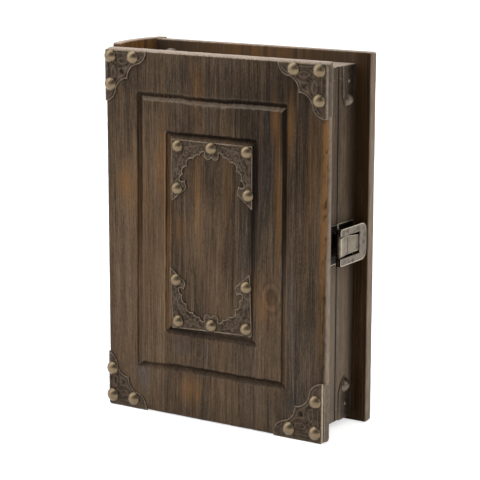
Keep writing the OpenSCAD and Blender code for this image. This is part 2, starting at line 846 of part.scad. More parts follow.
// The keeper: a wall plate with a hook that points away from the lid
module latch_keeper() {
    color(latch_metal) place() at_latch() {
        latch_plate(body_front + plate_edge_gap, keeper_end, keeper_nails);
        latch_slab(hook_w) polygon([
            [latch_plate_t / 2, hook_start], [hook_out, hook_start], [hook_out, hook_end],
            [hook_out - hook_t, hook_end], [hook_out - hook_t, hook_start + hook_t],
            [latch_plate_t / 2, hook_start + hook_t]
        ]);
    }
}

module latch_nails(spots) {
    color(stud_metal) place() at_latch()
        for (n = spots) translate([latch_plate_t, n[0], n[1]]) rotate([0, 90, 0])
            stud(latch_nail_head_d, latch_nail_head_h, latch_nail_d, latch_nail_l);
}

front_cover();
back_cover();
spine_board();
lid_top_rail();
lid_bottom_rail();
lid_fore_rail();
lid_spine_rail();
body_top_rail();
body_bottom_rail();
body_fore_rail();
body_spine_rail();
corner_plate(0, 1);  // corner_plate_top_left
corner_plate(1, 1);  // corner_plate_top_right
corner_plate(0, 0);  // corner_plate_bottom_left
corner_plate(1, 0);  // corner_plate_bottom_right
corner_studs();
centre_plate_upper();
centre_plate_lower();
centre_studs();
fore_strap(lid_strap_y, 1);  // lid_strap_top
fore_strap(lid_strap_y, 0);  // lid_strap_bottom
fore_studs(lid_strap_y);  // lid_strap_studs
fore_nails(lid_strap_y);  // lid_strap_nails
fore_strap(body_strap_y, 1);  // body_strap_top
fore_strap(body_strap_y, 0);  // body_strap_bottom
fore_studs(body_strap_y);  // body_strap_studs
fore_nails(body_strap_y);  // body_strap_nails
spine_strap(true);  // spine_strap_top
spine_strap(false);  // spine_strap_bottom
spine_strap_studs();
hinge_leaf(hinge_high, board_t, lid_leaf_w, 1, -1);  // upper_hinge_lid_leaf
hinge_leaf(hinge_high, spine_front - leaf_t, body_leaf_w, 0, 1);  // upper_hinge_body_leaf
hinge_pin(hinge_high);  // upper_hinge_pin
hinge_leaf(hinge_low, board_t, lid_leaf_w, 1, -1);  // lower_hinge_lid_leaf
hinge_leaf(hinge_low, spine_front - leaf_t, body_leaf_w, 0, 1);  // lower_hinge_body_leaf
hinge_pin(hinge_low);  // lower_hinge_pin
hinge_screws(board_t + leaf_t, -1);  // hinge_lid_screws
hinge_screws(spine_front - leaf_t, 1);  // hinge_body_screws
latch_base();
latch_lever();
latch_frame();
latch_pin();
latch_keeper();
latch_nails(base_nails);  // latch_base_nails
latch_nails(keeper_nails);  // latch_keeper_nails
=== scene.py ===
"""The book box's looks: stained pine, pressed plates, domed studs and a lever latch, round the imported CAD."""
from math import asin, atan2, ceil, cos, degrees, exp, pi, radians, sin, sqrt

import bmesh
import bpy
import numpy as np
from mathutils import Matrix, Vector
from mathutils.geometry import delaunay_2d_cdt

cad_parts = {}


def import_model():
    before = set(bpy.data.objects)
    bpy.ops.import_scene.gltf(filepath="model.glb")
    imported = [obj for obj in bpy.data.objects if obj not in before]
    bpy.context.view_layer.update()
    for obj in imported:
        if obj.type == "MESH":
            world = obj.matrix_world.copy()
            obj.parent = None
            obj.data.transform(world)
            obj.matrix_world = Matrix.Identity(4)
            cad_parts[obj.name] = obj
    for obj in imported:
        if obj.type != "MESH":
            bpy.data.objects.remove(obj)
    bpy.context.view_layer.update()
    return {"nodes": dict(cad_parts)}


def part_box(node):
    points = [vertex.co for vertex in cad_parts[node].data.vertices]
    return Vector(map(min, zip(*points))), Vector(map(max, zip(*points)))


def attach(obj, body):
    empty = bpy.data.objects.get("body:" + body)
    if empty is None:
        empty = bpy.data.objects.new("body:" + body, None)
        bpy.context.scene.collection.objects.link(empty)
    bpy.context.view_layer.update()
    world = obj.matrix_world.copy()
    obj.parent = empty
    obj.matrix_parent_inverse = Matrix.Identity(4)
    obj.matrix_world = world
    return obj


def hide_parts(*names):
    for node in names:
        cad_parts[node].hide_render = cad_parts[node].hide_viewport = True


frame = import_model()

# Shapes are laid out in millimetres from the front cover's lower left front corner, as in the CAD source.
MM = 0.001
ORIGIN = np.array(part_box("front_cover")[0])


def span(node):
    """A CAD node's lowest and highest corner in millimetres, from the same corner."""
    low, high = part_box(node)
    return (np.array(low) - ORIGIN) / MM, (np.array(high) - ORIGIN) / MM


COVER_W, BOARD_T, COVER_H = span("front_cover")[1]
BOX_D = span("back_cover")[1][1]
SPINE_LOW, SPINE_HIGH = span("spine_board")
RIM_RIGHT = span("lid_fore_rail")[1][0]
LID_BACK = span("lid_fore_rail")[1][1]
RIM_LOW = span("lid_bottom_rail")[0][2]
RIM_HIGH = span("lid_top_rail")[1][2]
BODY_FRONT, BODY_BACK = span("body_fore_rail")[0][1], span("body_fore_rail")[1][1]
# Radii of the front cover's edges, of the back cover's, and of both covers' on the box's side
EDGE_R, BACK_R, INNER_R = 3.0, 2.0, 1.2
RAIL_R = 0.6
PLATE_T = 0.8


# Noise


def hashed(i, j, seed):
    """A random number from 0 to 1 for each cell, always the same one."""
    n = (i.astype(np.int64) * 374761393 + j.astype(np.int64) * 668265263 + seed * 974634777) & 0xFFFFFFFF
    n = ((n ^ (n >> 13)) * 1274126177) & 0xFFFFFFFF
    return ((n ^ (n >> 16)) & 0xFFFF) / 65535.0


def noise(x, y, seed=0):
    """Smooth value noise from -1 to 1, one cell per unit."""
    x, y = np.asarray(x, float), np.asarray(y, float)
    i, j = np.floor(x), np.floor(y)
    u, v = x - i, y - j
    u, v = u * u * (3 - 2 * u), v * v * (3 - 2 * v)
    a, b = hashed(i, j, seed), hashed(i + 1, j, seed)
    c, d = hashed(i, j + 1, seed), hashed(i + 1, j + 1, seed)
    return 2 * ((a * (1 - u) + b * u) * (1 - v) + (c * (1 - u) + d * u) * v) - 1


def step(x, low, high):
    """0 up to low, 1 from high on, and smooth between."""
    t = np.clip((np.asarray(x, float) - low) / (high - low), 0, 1)
    return t * t * (3 - 2 * t)


def bell(a, middle, width):
    """1 at the middle, falling off softly to both sides."""
    return np.exp(-((a - middle) / width) ** 2)


# Meshes


def placed(name, data):
    """A new object in the scene."""
    made = bpy.data.objects.new(name, data)
    bpy.context.scene.collection.objects.link(made)
    return made


def add_piece(node, mesh, body, material, sharp=None):
    """Puts a mesh in a CAD node's place, riding on a body. Edges past the angle sharp stay hard."""
    mesh.shade_smooth()
    if sharp is not None:
        mesh.set_sharp_from_angle(angle=radians(sharp))
    mesh.materials.append(material)
    piece = placed(mesh.name, mesh)
    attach(piece, body)
    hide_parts(node)


def make(node, kind, points, faces, values, body, material, sharp=None):
    """A piece in a CAD node's place, from points in millimetres and named values for each point."""
    mesh = bpy.data.meshes.new(f"{node}_{kind}")
    points = np.asarray(points, float) * MM + ORIGIN
    mesh.from_pydata(points.tolist(), [], [list(f) for f in faces])
    for key, numbers in values.items():
        mesh.attributes.new(key, "FLOAT", "POINT").data.foreach_set("value", np.asarray(numbers, np.float32))
    mesh.validate()
    mesh.update()
    add_piece(node, mesh, body, material, sharp)


def gather(node, kind, parts, body, material, sharp=None):
    """A metal piece from parts, each given as points, faces, the points' wear and painted highlight, and their
    tarnish.
    """
    points, faces, rub_and_highlight, deep = [], [], [], []
    for part in parts:
        faces += [tuple(i + len(points) for i in f) for f in part[1]]
        for kept, values in zip((points, rub_and_highlight, deep), (part[0], *part[2:])):
            kept.extend(values)
    make(node, kind, points, faces, {"rub_and_highlight": rub_and_highlight, "deep": deep}, body, material, sharp)


def ring_faces(count, n):
    """Quads between rings of n points each."""
    return [(k * n + s, k * n + (s + 1) % n, (k + 1) * n + (s + 1) % n, (k + 1) * n + s)
            for k in range(count - 1) for s in range(n)]


def lattice_box(xs, ys, zs):
    """The outside of a lattice: its points and outward faces."""
    shape = (len(xs), len(ys), len(zs))
    outer = np.zeros(shape, bool)
    outer[[0, -1]] = outer[:, [0, -1]] = outer[:, :, [0, -1]] = True
    index = np.full(shape, -1)
    index[outer] = np.arange(outer.sum())
    i, j, k = np.where(outer)
    points = np.stack([np.asarray(xs)[i], np.asarray(ys)[j], np.asarray(zs)[k]], -1).astype(float)
    faces = []
    for axis in range(3):
        for end in (0, -1):
            sheet = np.take(index, end, axis)
            corners = [sheet[:-1, :-1], sheet[1:, :-1], sheet[1:, 1:], sheet[:-1, 1:]]
            quads = np.stack(corners, -1).reshape(-1, 4)
            if (end == 0) != (axis == 1):
                quads = quads[:, ::-1]
            faces.append(quads)
    return points, np.concatenate(faces)


# The lines of an edge's arc, as shares of its radius, and the least step between two lines
ARC_LINES = (0.0, 0.423, 0.732)
LEAST_STEP = 0.12


def ticks(low, high, gap, r, extra=()):
    """Lattice lines along one side: an arc's worth at each end, even steps between, and extra lines."""
    inner = np.linspace(low + r, high - r, max(2, int(ceil((high - low - 2 * r) / gap)) + 1))
    lines = [low + r * a for a in ARC_LINES] + [high - r * a for a in ARC_LINES] + list(inner) + list(extra)
    lines.sort()
    keep = [lines[0]]
    for value in lines[1:]:
        if value - keep[-1] > LEAST_STEP:
            keep.append(value)
    keep[-1] = high
    return np.array(keep)


def block(low, high, gaps, radii, extras):
    """A lattice box between two corners: each axis's gap, its edges' radius and its extra lines."""
    return lattice_box(*(ticks(*axis) for axis in zip(low, high, gaps, radii, extras)))


def rounded(points, low, high, r):
    """The lattice box's points with edges rounded by r, and their outward directions."""
    r = np.broadcast_to(np.asarray(r, float), (len(points),))[:, None]
    inner = np.clip(points, np.asarray(low) + r, np.asarray(high) - r)
    out = points - inner
    size = np.linalg.norm(out, axis=1, keepdims=True)
    out = out / np.maximum(size, 1e-9)
    return inner + out * r, out


def edge_distance(points, low, high):
    """How far each surface point is from the box's nearest edge line."""
    gap = np.sort(np.minimum(points - low, high - points), axis=1)
    return gap[:, 1]


# The spine's hollow side is an arc, which the covers and rails meet.
SPINE_FRONT = SPINE_LOW[1]
SPINE_HALF = (BOX_D - SPINE_FRONT) / 2
SPINE_LAP, SPINE_T = 1.0, 6.6
SPINE_SAG = -SPINE_LOW[0] - SPINE_LAP
SPINE_R = (SPINE_HALF**2 + SPINE_SAG**2) / (2 * SPINE_SAG)
SPINE_X, SPINE_Y = SPINE_R + SPINE_LOW[0], SPINE_FRONT + SPINE_HALF


def hollow_x(y):
    """The x of the spine's hollow side at y."""
    return SPINE_X - np.sqrt(np.maximum((SPINE_R - SPINE_T) ** 2 - (np.asarray(y) - SPINE_Y) ** 2, 0))


# Materials


class Graph:
    """A short way to write the nodes of a material or a world."""

    def __init__(self, owner):
        owner.use_nodes = True
        self.owner, self.tree = owner, owner.node_tree

    def node(self, kind, inputs=None, **properties):
        """A new node's outputs."""
        made = self.tree.nodes.new("ShaderNode" + kind)
        for key, value in properties.items():
            setattr(made, key, value)
        for key, value in (inputs or {}).items():
            self.set(made.inputs[key], value)
        return made.outputs

    def set(self, socket, value):
        """Links an output to a socket, or sets the socket's own value."""
        if isinstance(value, bpy.types.NodeSocket):
            self.tree.links.new(value, socket)
        elif socket.type == "RGBA" and len(value) == 3:
            socket.default_value = (*value, 1)
        else:
            socket.default_value = value

    def math(self, operation, a, b, clamp=False):
        return self.node("Math", {0: a, 1: b}, operation=operation, use_clamp=clamp)[0]

    def plus(self, a, b, clamp=False):
        return self.math("ADD", a, b, clamp)

    def times(self, a, b, clamp=False):
        return self.math("MULTIPLY", a, b, clamp)

    def swing(self, value, amount):
        """A noise of 0 to 1, turned into one about 0."""
        return self.times(self.math("SUBTRACT", value, 0.5), amount)

    def vector(self, operation, a, b):
        return self.node("VectorMath", {0: a, 1: b}, operation=operation)[0]

    def triple(self, value):
        """A vector or grey with the same value three times."""
        return self.node("CombineXYZ", {0: value, 1: value, 2: value})[0]

    def mix(self, factor, a, b):
        return self.node("Mix", {0: factor, 6: a, 7: b}, data_type="RGBA")[2]

    def place(self, scale=(1, 1, 1), offset=(0, 0, 0)):
        at = self.node("TexCoord")["Object"]
        return self.node("Mapping", {"Vector": at, "Scale": scale, "Location": offset})[0]

    def noise(self, vector, detail, roughness=0.5):
        inputs = {"Vector": vector, "Scale": 1.0, "Detail": detail, "Roughness": roughness}
        return self.node("TexNoise", inputs)[0]

    def ramp(self, factor, stops):
        made = self.tree.nodes.new("ShaderNodeValToRGB")
        self.set(made.inputs[0], factor)
        elements = made.color_ramp.elements
        while len(elements) < len(stops):
            elements.new(0.5)
        for element, (place, colour) in zip(elements, stops):
            element.position, element.color = place, (*colour, 1)
        return made.outputs["Color"]

    def spread(self, value, low, high):
        """value from low to high, brought to 0 to 1."""
        inputs = {0: value, 1: low, 2: high}
        return self.node("MapRange", inputs, interpolation_type="SMOOTHSTEP")[0]

    def rays(self):
        """Whether a ray comes from the camera, and whether from something that mirrors or lets through."""
        path = self.node("LightPath")
        return path["Is Camera Ray"], self.math("MAXIMUM", path["Is Glossy Ray"], path["Is Transmission Ray"])

    def attribute(self, name):
        return self.node("Attribute", attribute_name=name)["Fac"]

    def finish(self, inputs, height, strength, distance):
        """The material, with its shader's inputs set and a bump that is distance deep in metres."""
        bump = self.node("Bump", {"Strength": strength, "Distance": distance, "Height": height})[0]
        for key, value in {**inputs, "Normal": bump}.items():
            self.set(self.tree.nodes["Principled BSDF"].inputs[key], value)
        return self.owner


# Stained pine's colours from dark to light, then the ones that it turns to
PINE = (
    (0.0, (0.013, 0.0086, 0.0053)), (0.25, (0.042, 0.0276, 0.0168)), (0.5, (0.099, 0.0645, 0.039)),
    (0.75, (0.171, 0.112, 0.068)), (1.0, (0.262, 0.171, 0.105)),
)
HONEY, PALE = (0.215, 0.098, 0.026), (0.325, 0.255, 0.192)
# The pale of wear and of the painted sheen on faces that look up, and the black of painted shade and of dark
# specks
WEAR_AND_SHEEN_PALE, SHADE_AND_SPECK_BLACK = (0.42, 0.335, 0.27), (0.0075, 0.0038, 0.0016)
# Reddish streaks, light veins and dark cracks: how often they come across and along the grain, detail, the
# noise where they start and where they are full, strength and colour
VEINS = (
    (240, 6, 2.0, 0.56, 0.7, 0.18, (0.085, 0.04, 0.026)),
    (820, 7, 2.0, 0.6, 0.72, 0.26, (0.19, 0.135, 0.09)),
    (1200, 12, 3.0, 0.63, 0.72, 0.4, (0.012, 0.008, 0.005)),
)


def wood(name, grain, offset=(0, 0, 0), shift=0.0):
    """Dark stained pine whose grain runs along the axis named by grain.

    Point attributes steer it: tone lightens or darkens, also as painted light and shade inside the back cover,
    warm turns it orange, cool greys it, dark lays painted shade and dark specks on it, pale lightens it evenly,
    partly as painted light, and the wear value lightens it in specks, for wear on edges and as a painted sheen
    on faces that look up.
    """
    g = Graph(bpy.data.materials.new(name))

    def scale(across, along):
        return [along if axis == grain else across for axis in "xyz"]

    sway = g.triple(g.noise(g.place(scale(12, 4), offset), 1.0))
    base = g.vector("ADD", g.place(offset=offset), g.vector("MULTIPLY", sway, (0.01,) * 3))

    def streaks(across, along, detail, roughness=0.55):
        return g.noise(g.vector("MULTIPLY", base, scale(across, along)), detail, roughness)

    bands = streaks(210, 5, 3.0)
    lines = streaks(880, 16, 3.0, 0.65)
    fine = streaks(1500, 90, 2.0, 0.6)
    pores = streaks(1500, 480, 2.0)
    blotches = g.noise(g.place(scale(34, 14), offset), 4.0, 0.6)
    tone = g.plus(g.attribute("tone"), 0.32 + shift)
    for part, amount in ((bands, 0.42), (lines, 0.74), (fine, 0.52), (blotches, 0.44), (pores, 0.48)):
        tone = g.plus(tone, g.swing(part, amount))
    colour = g.ramp(tone, PINE)
    grey = g.triple(g.node("RGBToBW", {0: colour})[0])
    ash = g.spread(g.plus(streaks(70, 7, 2.0), g.attribute("cool")), 0.53, 0.9)
    colour = g.mix(g.times(ash, 0.55), colour, grey)
    honey = g.spread(g.plus(bands, g.swing(lines, 0.5)), 0.18, 0.58)
    honey = g.times(g.attribute("warm"), honey)
    colour = g.mix(g.times(honey, 0.85, clamp=True), colour, HONEY)
    for across, along, detail, start, full, strength, tint in VEINS:
        vein = g.spread(streaks(across, along, detail), start, full)
        colour = g.mix(g.times(vein, strength), colour, tint)
    pale = g.times(g.attribute("pale"), g.plus(0.55, g.times(fine, 0.9)), clamp=True)
    colour = g.mix(pale, colour, PALE)
    speck = g.noise(g.place(scale(900, 500), offset), 3.0, 0.7)
    # Wear on edges, and a painted sheen on faces that look up, turn the pine pale in specks.
    rub_and_shine = g.spread(g.plus(g.attribute("wear_and_sheen"), g.swing(speck, 1.0)), 0.25, 0.95)
    colour = g.mix(g.times(rub_and_shine, 0.88), colour, WEAR_AND_SHEEN_PALE)
    # Painted shade, and dark specks: the dark value blackens the pine, most along the grain's lines.
    shade_and_specks = g.times(g.attribute("dark"), g.plus(0.62, g.times(lines, 0.7)), clamp=True)
    colour = g.mix(g.times(shade_and_specks, 0.95), colour, SHADE_AND_SPECK_BLACK)
    rough = g.plus(0.46, g.swing(lines, 0.5), clamp=True)
    height = g.plus(g.times(lines, 0.7), g.times(fine, 0.5))
    inputs = {"Base Color": colour, "Roughness": rough, "Specular IOR Level": 0.06}
    return g.finish(inputs, height, 0.5, 0.0002)


def metal(name, base, deep, bright, roughness, speckle=0.25):
    """Antique metal: deep tarnish in hollows and painted shade, bright edge wear and painted highlights, and a
    faint mottle.
    """
    g = Graph(bpy.data.materials.new(name))
    mottle = g.noise(g.place((260,) * 3), 4.0, 0.6)
    fine = g.noise(g.place((1700,) * 3), 3.0, 0.6)
    tarnish = g.times(g.spread(mottle, 0.42, 0.72), speckle)
    # Tarnish, and painted shade, darken it.
    colour = g.mix(g.plus(g.attribute("deep"), tarnish, clamp=True), base, deep)
    # Wear, and painted highlights, lighten it.
    rub_and_shine = g.times(g.attribute("rub_and_highlight"), g.spread(fine, 0.2, 0.6), clamp=True)
    colour = g.mix(rub_and_shine, colour, bright)
    rough = g.plus(roughness, g.swing(mottle, 0.3), clamp=True)
    height = g.plus(mottle, g.times(fine, 0.4))
    return g.finish({"Base Color": colour, "Roughness": rough, "Metallic": 1.0}, height, 0.25, 0.00015)


COVER_WOOD = wood("stained_pine_front", "z")
BACK_WOOD = wood("stained_pine_back", "z", (0.31, 0.12, 0.05), -0.06)
SPINE_WOOD = wood("stained_pine_spine", "z", (0.71, 0.42, 0.15), -0.04)
RIM_WOOD = wood("stained_pine_rim_upright", "z", (1.31, 0.22, 0.45))
RAIL_WOOD = wood("stained_pine_rim_level", "x", (1.91, 0.62, 0.85))
PLATE_METAL = metal(
    "pressed_plate", (0.068, 0.0485, 0.0345), (0.016, 0.0112, 0.0075), (0.42, 0.34, 0.25), 0.5, 0.45)
STUD_METAL = metal(
    "stud_brass", (0.172, 0.127, 0.078), (0.05, 0.034, 0.019), (0.3, 0.235, 0.155), 0.36, 0.3)
STRAP_STUD_METAL = metal(
    "stud_brass_dark", (0.11, 0.084, 0.062), (0.032, 0.023, 0.016), (0.42, 0.34, 0.27), 0.4, 0.5)
LATCH_METAL = metal(
    "latch_bronze", (0.172, 0.138, 0.102), (0.03, 0.022, 0.015), (0.37, 0.315, 0.22), 0.36, 0.5)
FRAME_METAL = metal(
    "latch_bronze_worn", (0.145, 0.116, 0.09), (0.02, 0.014, 0.01), (0.46, 0.4, 0.31), 0.38, 0.8)
# A near-black copy of the latch bronze, which paints shade on the wall plates, pin and nails.
SHADED_LATCH_METAL = metal(
    "latch_bronze_painted_shade", (0.014, 0.011, 0.007), (0.006, 0.005, 0.004), (0.62, 0.54, 0.42), 0.45, 0.4)
HINGE_METAL = metal("hinge_brass", (0.34, 0.28, 0.19), (0.08, 0.06, 0.04), (0.55, 0.47, 0.34), 0.38)


# Wooden boards


def worn_edge(points, low, high, reach, seed):
    """Wear that is strongest on the edges and breaks up along them."""
    near = edge_distance(points, np.asarray(low), np.asarray(high))
    ragged = noise(points[:, 0] / 3 + points[:, 1] / 3, points[:, 2] / 3, seed) * 0.35
    return np.clip(1 - near / reach + ragged, 0, 1) * (near < reach * 2.2)


def plank(node, body, material, grain, seed, trim):
    """A rail: a box with soft edges, wear on them, a painted sheen on top, painted shade by the back cover and
    along the split, and faint relief along its grain. trim fits it to the spine.
    """
    low, high = span(node)
    along = "xyz".index(grain)
    gaps = [22 if axis == along else 2.2 for axis in range(3)]
    lattice, faces = block(low, high, gaps, [RAIL_R] * 3, list(zip(low + 1.6, high - 1.6)))
    points, out = rounded(lattice, low, high, RAIL_R)
    across = points[:, (along + 1) % 3] + points[:, (along + 2) % 3]
    relief = 0.03 + 0.03 * noise(across / 1.7, points[:, along] / 50, seed)
    points = points - out * relief[:, None]
    if trim:
        points[:, 0] = np.maximum(points[:, 0], hollow_x(points[:, 1]) + 0.1)
    # Edge wear, and a painted sheen on the top face.
    wear_and_sheen = np.maximum(worn_edge(points, low, high, 1.1, seed) * 0.5, 0.75 * step(out[:, 2], 0.4, 0.9))
    low_down = 1 - step(points[:, 2], 70, 185)
    fore = step(points[:, 0], RIM_RIGHT - 1, RIM_RIGHT)
    # Painted shade: the body rails' fore faces darken towards the back cover, from further back low down, and a
    # black line of painted shade runs along the split between lid and body.
    dark = 0.8 * fore * step(points[:, 1], BODY_FRONT + 9 + 4 * low_down, BODY_BACK - 3 + 2 * low_down)
    from_split = np.abs(points[:, 1] - (LID_BACK + BODY_FRONT) / 2)
    dark = np.maximum(dark, 0.97 * (1 - step(from_split, 0.45, 1.0)))
    pale = fore * (0.07 + 0.27 * low_down) * (1 + 0.3 * noise(points[:, 1] / 1.3, points[:, 2] / 40, seed))
    values = {"wear_and_sheen": wear_and_sheen, "dark": dark, "pale": pale}
    make(node, "piece", points, faces, values, body, material)


# The two rings of grooves: their left, right, low and high middle lines, half widths, depth and the left
# run's lean.
GROOVES = (
    ((30.4, 154.2, 37.3, 236.4), (2.5, 2.3, 2.7, 2.85), 2.6, 0.0085),
    ((55.5, 129.4, 65.7, 210.0), (2.3, 2.8, 3.0, 2.6), 2.0, 0.0104),
)
# Stretches across each ring's left, right, low and high run, rightward or downward from its middle line:
# from, to, painted shade where the run is strong and where it is faint, painted light, warmth. The upright runs
# are faint low down, and the level ones on the left.
GROOVE_SHADE_LIGHT_AND_WARMTH = (
    (
        ((-2.6, -1.5, 0.86, 0.7, 0, 0), (-1.5, -0.3, 0.55, 0, 0, 0.35), (-0.3, 0.6, 0.8, 0.05, 0, 0),
         (0.6, 2.5, 0.26, 0, 0, 0), (2.5, 3.7, 0, 0, 0.08, 0)),
        ((-2.35, -1.2, 1.0, 0.85, 0, 0), (-1.2, -0.4, 0.9, 0.15, 0, 0), (-0.4, 0.7, 0.65, 0, 0, 0.2),
         (0.7, 2.2, 0.2, 0, 0.05, 0.2)),
        ((-2.8, -0.2, 0.84, 0.58, 0, 0), (-0.2, 2.6, 0.5, 0.22, 0, 0)),
        ((-4.2, -3.1, 0, 0, 0.04, 0), (-2.9, -0.1, 0.94, 0.68, 0, 0), (0.2, 2.9, 0, 0, 0.25, 0)),
    ), (
        ((-3.7, -2.7, 0, 0, 0.14, 0.8), (-2.3, -1.3, 0.9, 0.3, 0, 0), (-1.3, 2.3, 0, 0, 0, 0.4)),
        ((-2.9, -1.5, 1.0, 0.8, 0, 0), (-1.5, -0.3, 0.85, 0, 0, 0), (-0.3, 2.4, 0.4, 0, 0, 0)),
        ((-3.1, -1.2, 0.75, 0.85, 0, 0), (-1.2, 0.8, 0.7, 0.95, 0, 0), (0.8, 3.0, 0.5, 0.6, 0, 0)),
        ((-2.6, -0.2, 0.94, 0.88, 0, 0), (-0.2, 1.0, 0.55, 0.5, 0, 0), (1.0, 2.6, 0.2, 0.18, 0, 0.2)),
    ),
)


def near_lines(middle, half, gap):
    """Lattice lines to both sides of a groove's middle line."""
    return list(np.arange(middle - half, middle + half + 1e-6, gap))


def band(a, low, high, soft=0.22):
    """1 between low and high, 0 past them."""
    return step(a, low - soft, low + soft) * (1 - step(a, high - soft, high + soft))


# Patches of the front cover's stain: x, z, their widths and strength.
TONES = (
    (0, 60, 26, 120, 0.12), (19, 110, 8, 90, 0.18), (10, 150, 22, 90, 0.04), (44, 110, 12, 120, 0.12),
    (92, 150, 26, 70, 0.04), (70, 24, 60, 24, 0.1), (60, 252, 60, 30, -0.05), (75, 236, 18, 14, 0.1),
    (130, 250, 50, 34, -0.14), (100, 265, 40, 9, 0.12), (86, 216, 50, 9, 0.02), (122, 172, 10, 52, -0.22),
    (138, 180, 9, 60, -0.06), (172, 225, 20, 56, -0.2), (146, 215, 6, 34, -0.16), (108, 98, 12, 34, 0.1),
    (140, 72, 22, 50, 0.14), (104, 190, 30, 26, -0.05), (56, 156, 4, 8, -0.2), (128, 196, 6, 22, -0.1),
    (160, 28, 22, 14, -0.12), (62, 34, 9, 6, -0.1), (163, 60, 4, 30, -0.08), (118, 232, 14, 12, -0.08),
    (52, 100, 14, 30, 0.06), (168, 60, 8, 40, 0.03),
)
WARMTH = (
    (30, 110, 14, 100, 0.08), (46, 150, 12, 90, 0.06), (82, 246, 4, 14, 0.5), (146, 228, 3, 14, 0.4),
    (149, 168, 3, 44, 0.5), (81.5, 168, 3.5, 36, 0.38), (107, 180, 3, 34, 0.3), (98, 104, 6, 40, 0.15),
    (30, 165, 7, 24, 0.3), (17, 172, 6, 12, 0.55), (49, 188, 6, 18, 0.3), (66, 142, 6, 10, 0.35),
    (75, 22, 8, 9, 0.6), (184, 135, 1.8, 80, 0.45), (139, 92, 7, 12, 0.35), (176, 190, 5, 50, 0.3),
    (52, 190, 2.5, 50, 0.2), (158, 226, 4, 22, 0.4), (126, 106, 6, 14, 0.35), (60, 190, 1.2, 22, 0.4),
)
COOLNESS = (
    (125, 130, 12, 66, 0.2), (140, 185, 10, 50, 0.2), (8, 200, 12, 60, 0.1), (72, 54, 14, 12, 0.25),
    (160, 22, 18, 20, 0.24), (60, 250, 30, 20, 0.06), (166, 200, 10, 60, 0.06), (166, 90, 9, 50, 0.26),
    (34, 28, 20, 14, 0.25),
)


KNOT_X, KNOT_Z = 143.5, 101


def patches(x, z, spots):
    """The sum of soft-edged spots."""
    return sum(s * np.exp(-((x - cx) / wx) ** 2 - ((z - cz) / wz) ** 2) for cx, cz, wx, wz, s in spots)


def grooves(x, z):
    """How deep the grooves are at points of the cover, and their painted shade, painted light and warmth."""
    depth, dark, pale, warm = (np.zeros(len(x)) for _ in range(4))
    for number, ((left, right, foot, head), halves, deep, lean) in enumerate(GROOVES):
        left = left + lean * (z - 150)
        foot = foot - (1 - number) * (1.9 * (1 - step(x, 38, 62)) - 0.5 * step(x, 125, 150))
        head = head - (1 - number) * 0.7 * step(x, 66, 78) * (1 - step(x, 103, 115))
        dx, dz = np.maximum(left - x, x - right), np.maximum(foot - z, z - head)
        d = np.where((dx > 0) & (dz > 0), np.hypot(dx, dz), np.maximum(dx, dz))
        d = d + 0.22 * noise(x / 1.1, z / 7, 11 + number) + 0.15 * noise(x / 9, z / 9, 21 + number)
        run = np.where(dz > dx, 2 + (z > COVER_H / 2), (x > COVER_W / 2) * 1)
        d = d + (run > 1) * 0.3 * noise(x / 1.7, z / 9, 31 + number)
        strong = np.where(run < 2, step(z, 80, 175), step(x, 66, 88))
        u = 1 - np.abs(d) / np.array(halves)[run]
        depth += deep * np.where(run < 2, 0.42 + 0.5 * strong, 1) * (np.sqrt(u * u + 0.008) + u) / 2
        across = np.where((run == 0) | (run == 3), -d, d)
        ragged = 1 + 0.3 * noise(x / 2.2, z / 2.2, 41 + number)
        for which, stretches in enumerate(GROOVE_SHADE_LIGHT_AND_WARMTH[number]):
            for start, end, most, least, a_pale, a_warm in stretches:
                here = (run == which) * band(across, start, end)
                dark = np.maximum(dark, here * (least + (most - least) * strong))
                pale = np.maximum(pale, here * a_pale * ragged)
                warm = np.maximum(warm, here * a_warm)
    return depth, dark, pale, warm


def cover_fore(back, y, z, out):
    """How pale the front cover's fore side is, and how browned it and its rounded corner are."""
    side = step(out[:, 0], 0.5, 0.9)
    corner = step(out[:, 0], 0.05, 0.3) * (1 - step(out[:, 0], 0.85, 0.98))
    low_down = 1 - step(z, 100, 180)
    places = (0, 1.5, 3.5, 5, 6.5, 8, 9)
    fade = np.interp(back, places, (0, 0.08, 0.2, 0.34, 0.62, 0.28, 0.08))
    fade += (np.interp(back, places, (0.1, 0.2, 0.5, 0.6, 0.6, 0.46, 0.28)) - fade) * low_down
    fade = fade * (1 + 0.3 * noise(y / 1.2, z / 4, 55))
    browned = corner + side * (1 - step(y, 4.5, 8)) * (1 - 0.5 * low_down)
    return side * np.clip(fade, 0, 1), browned


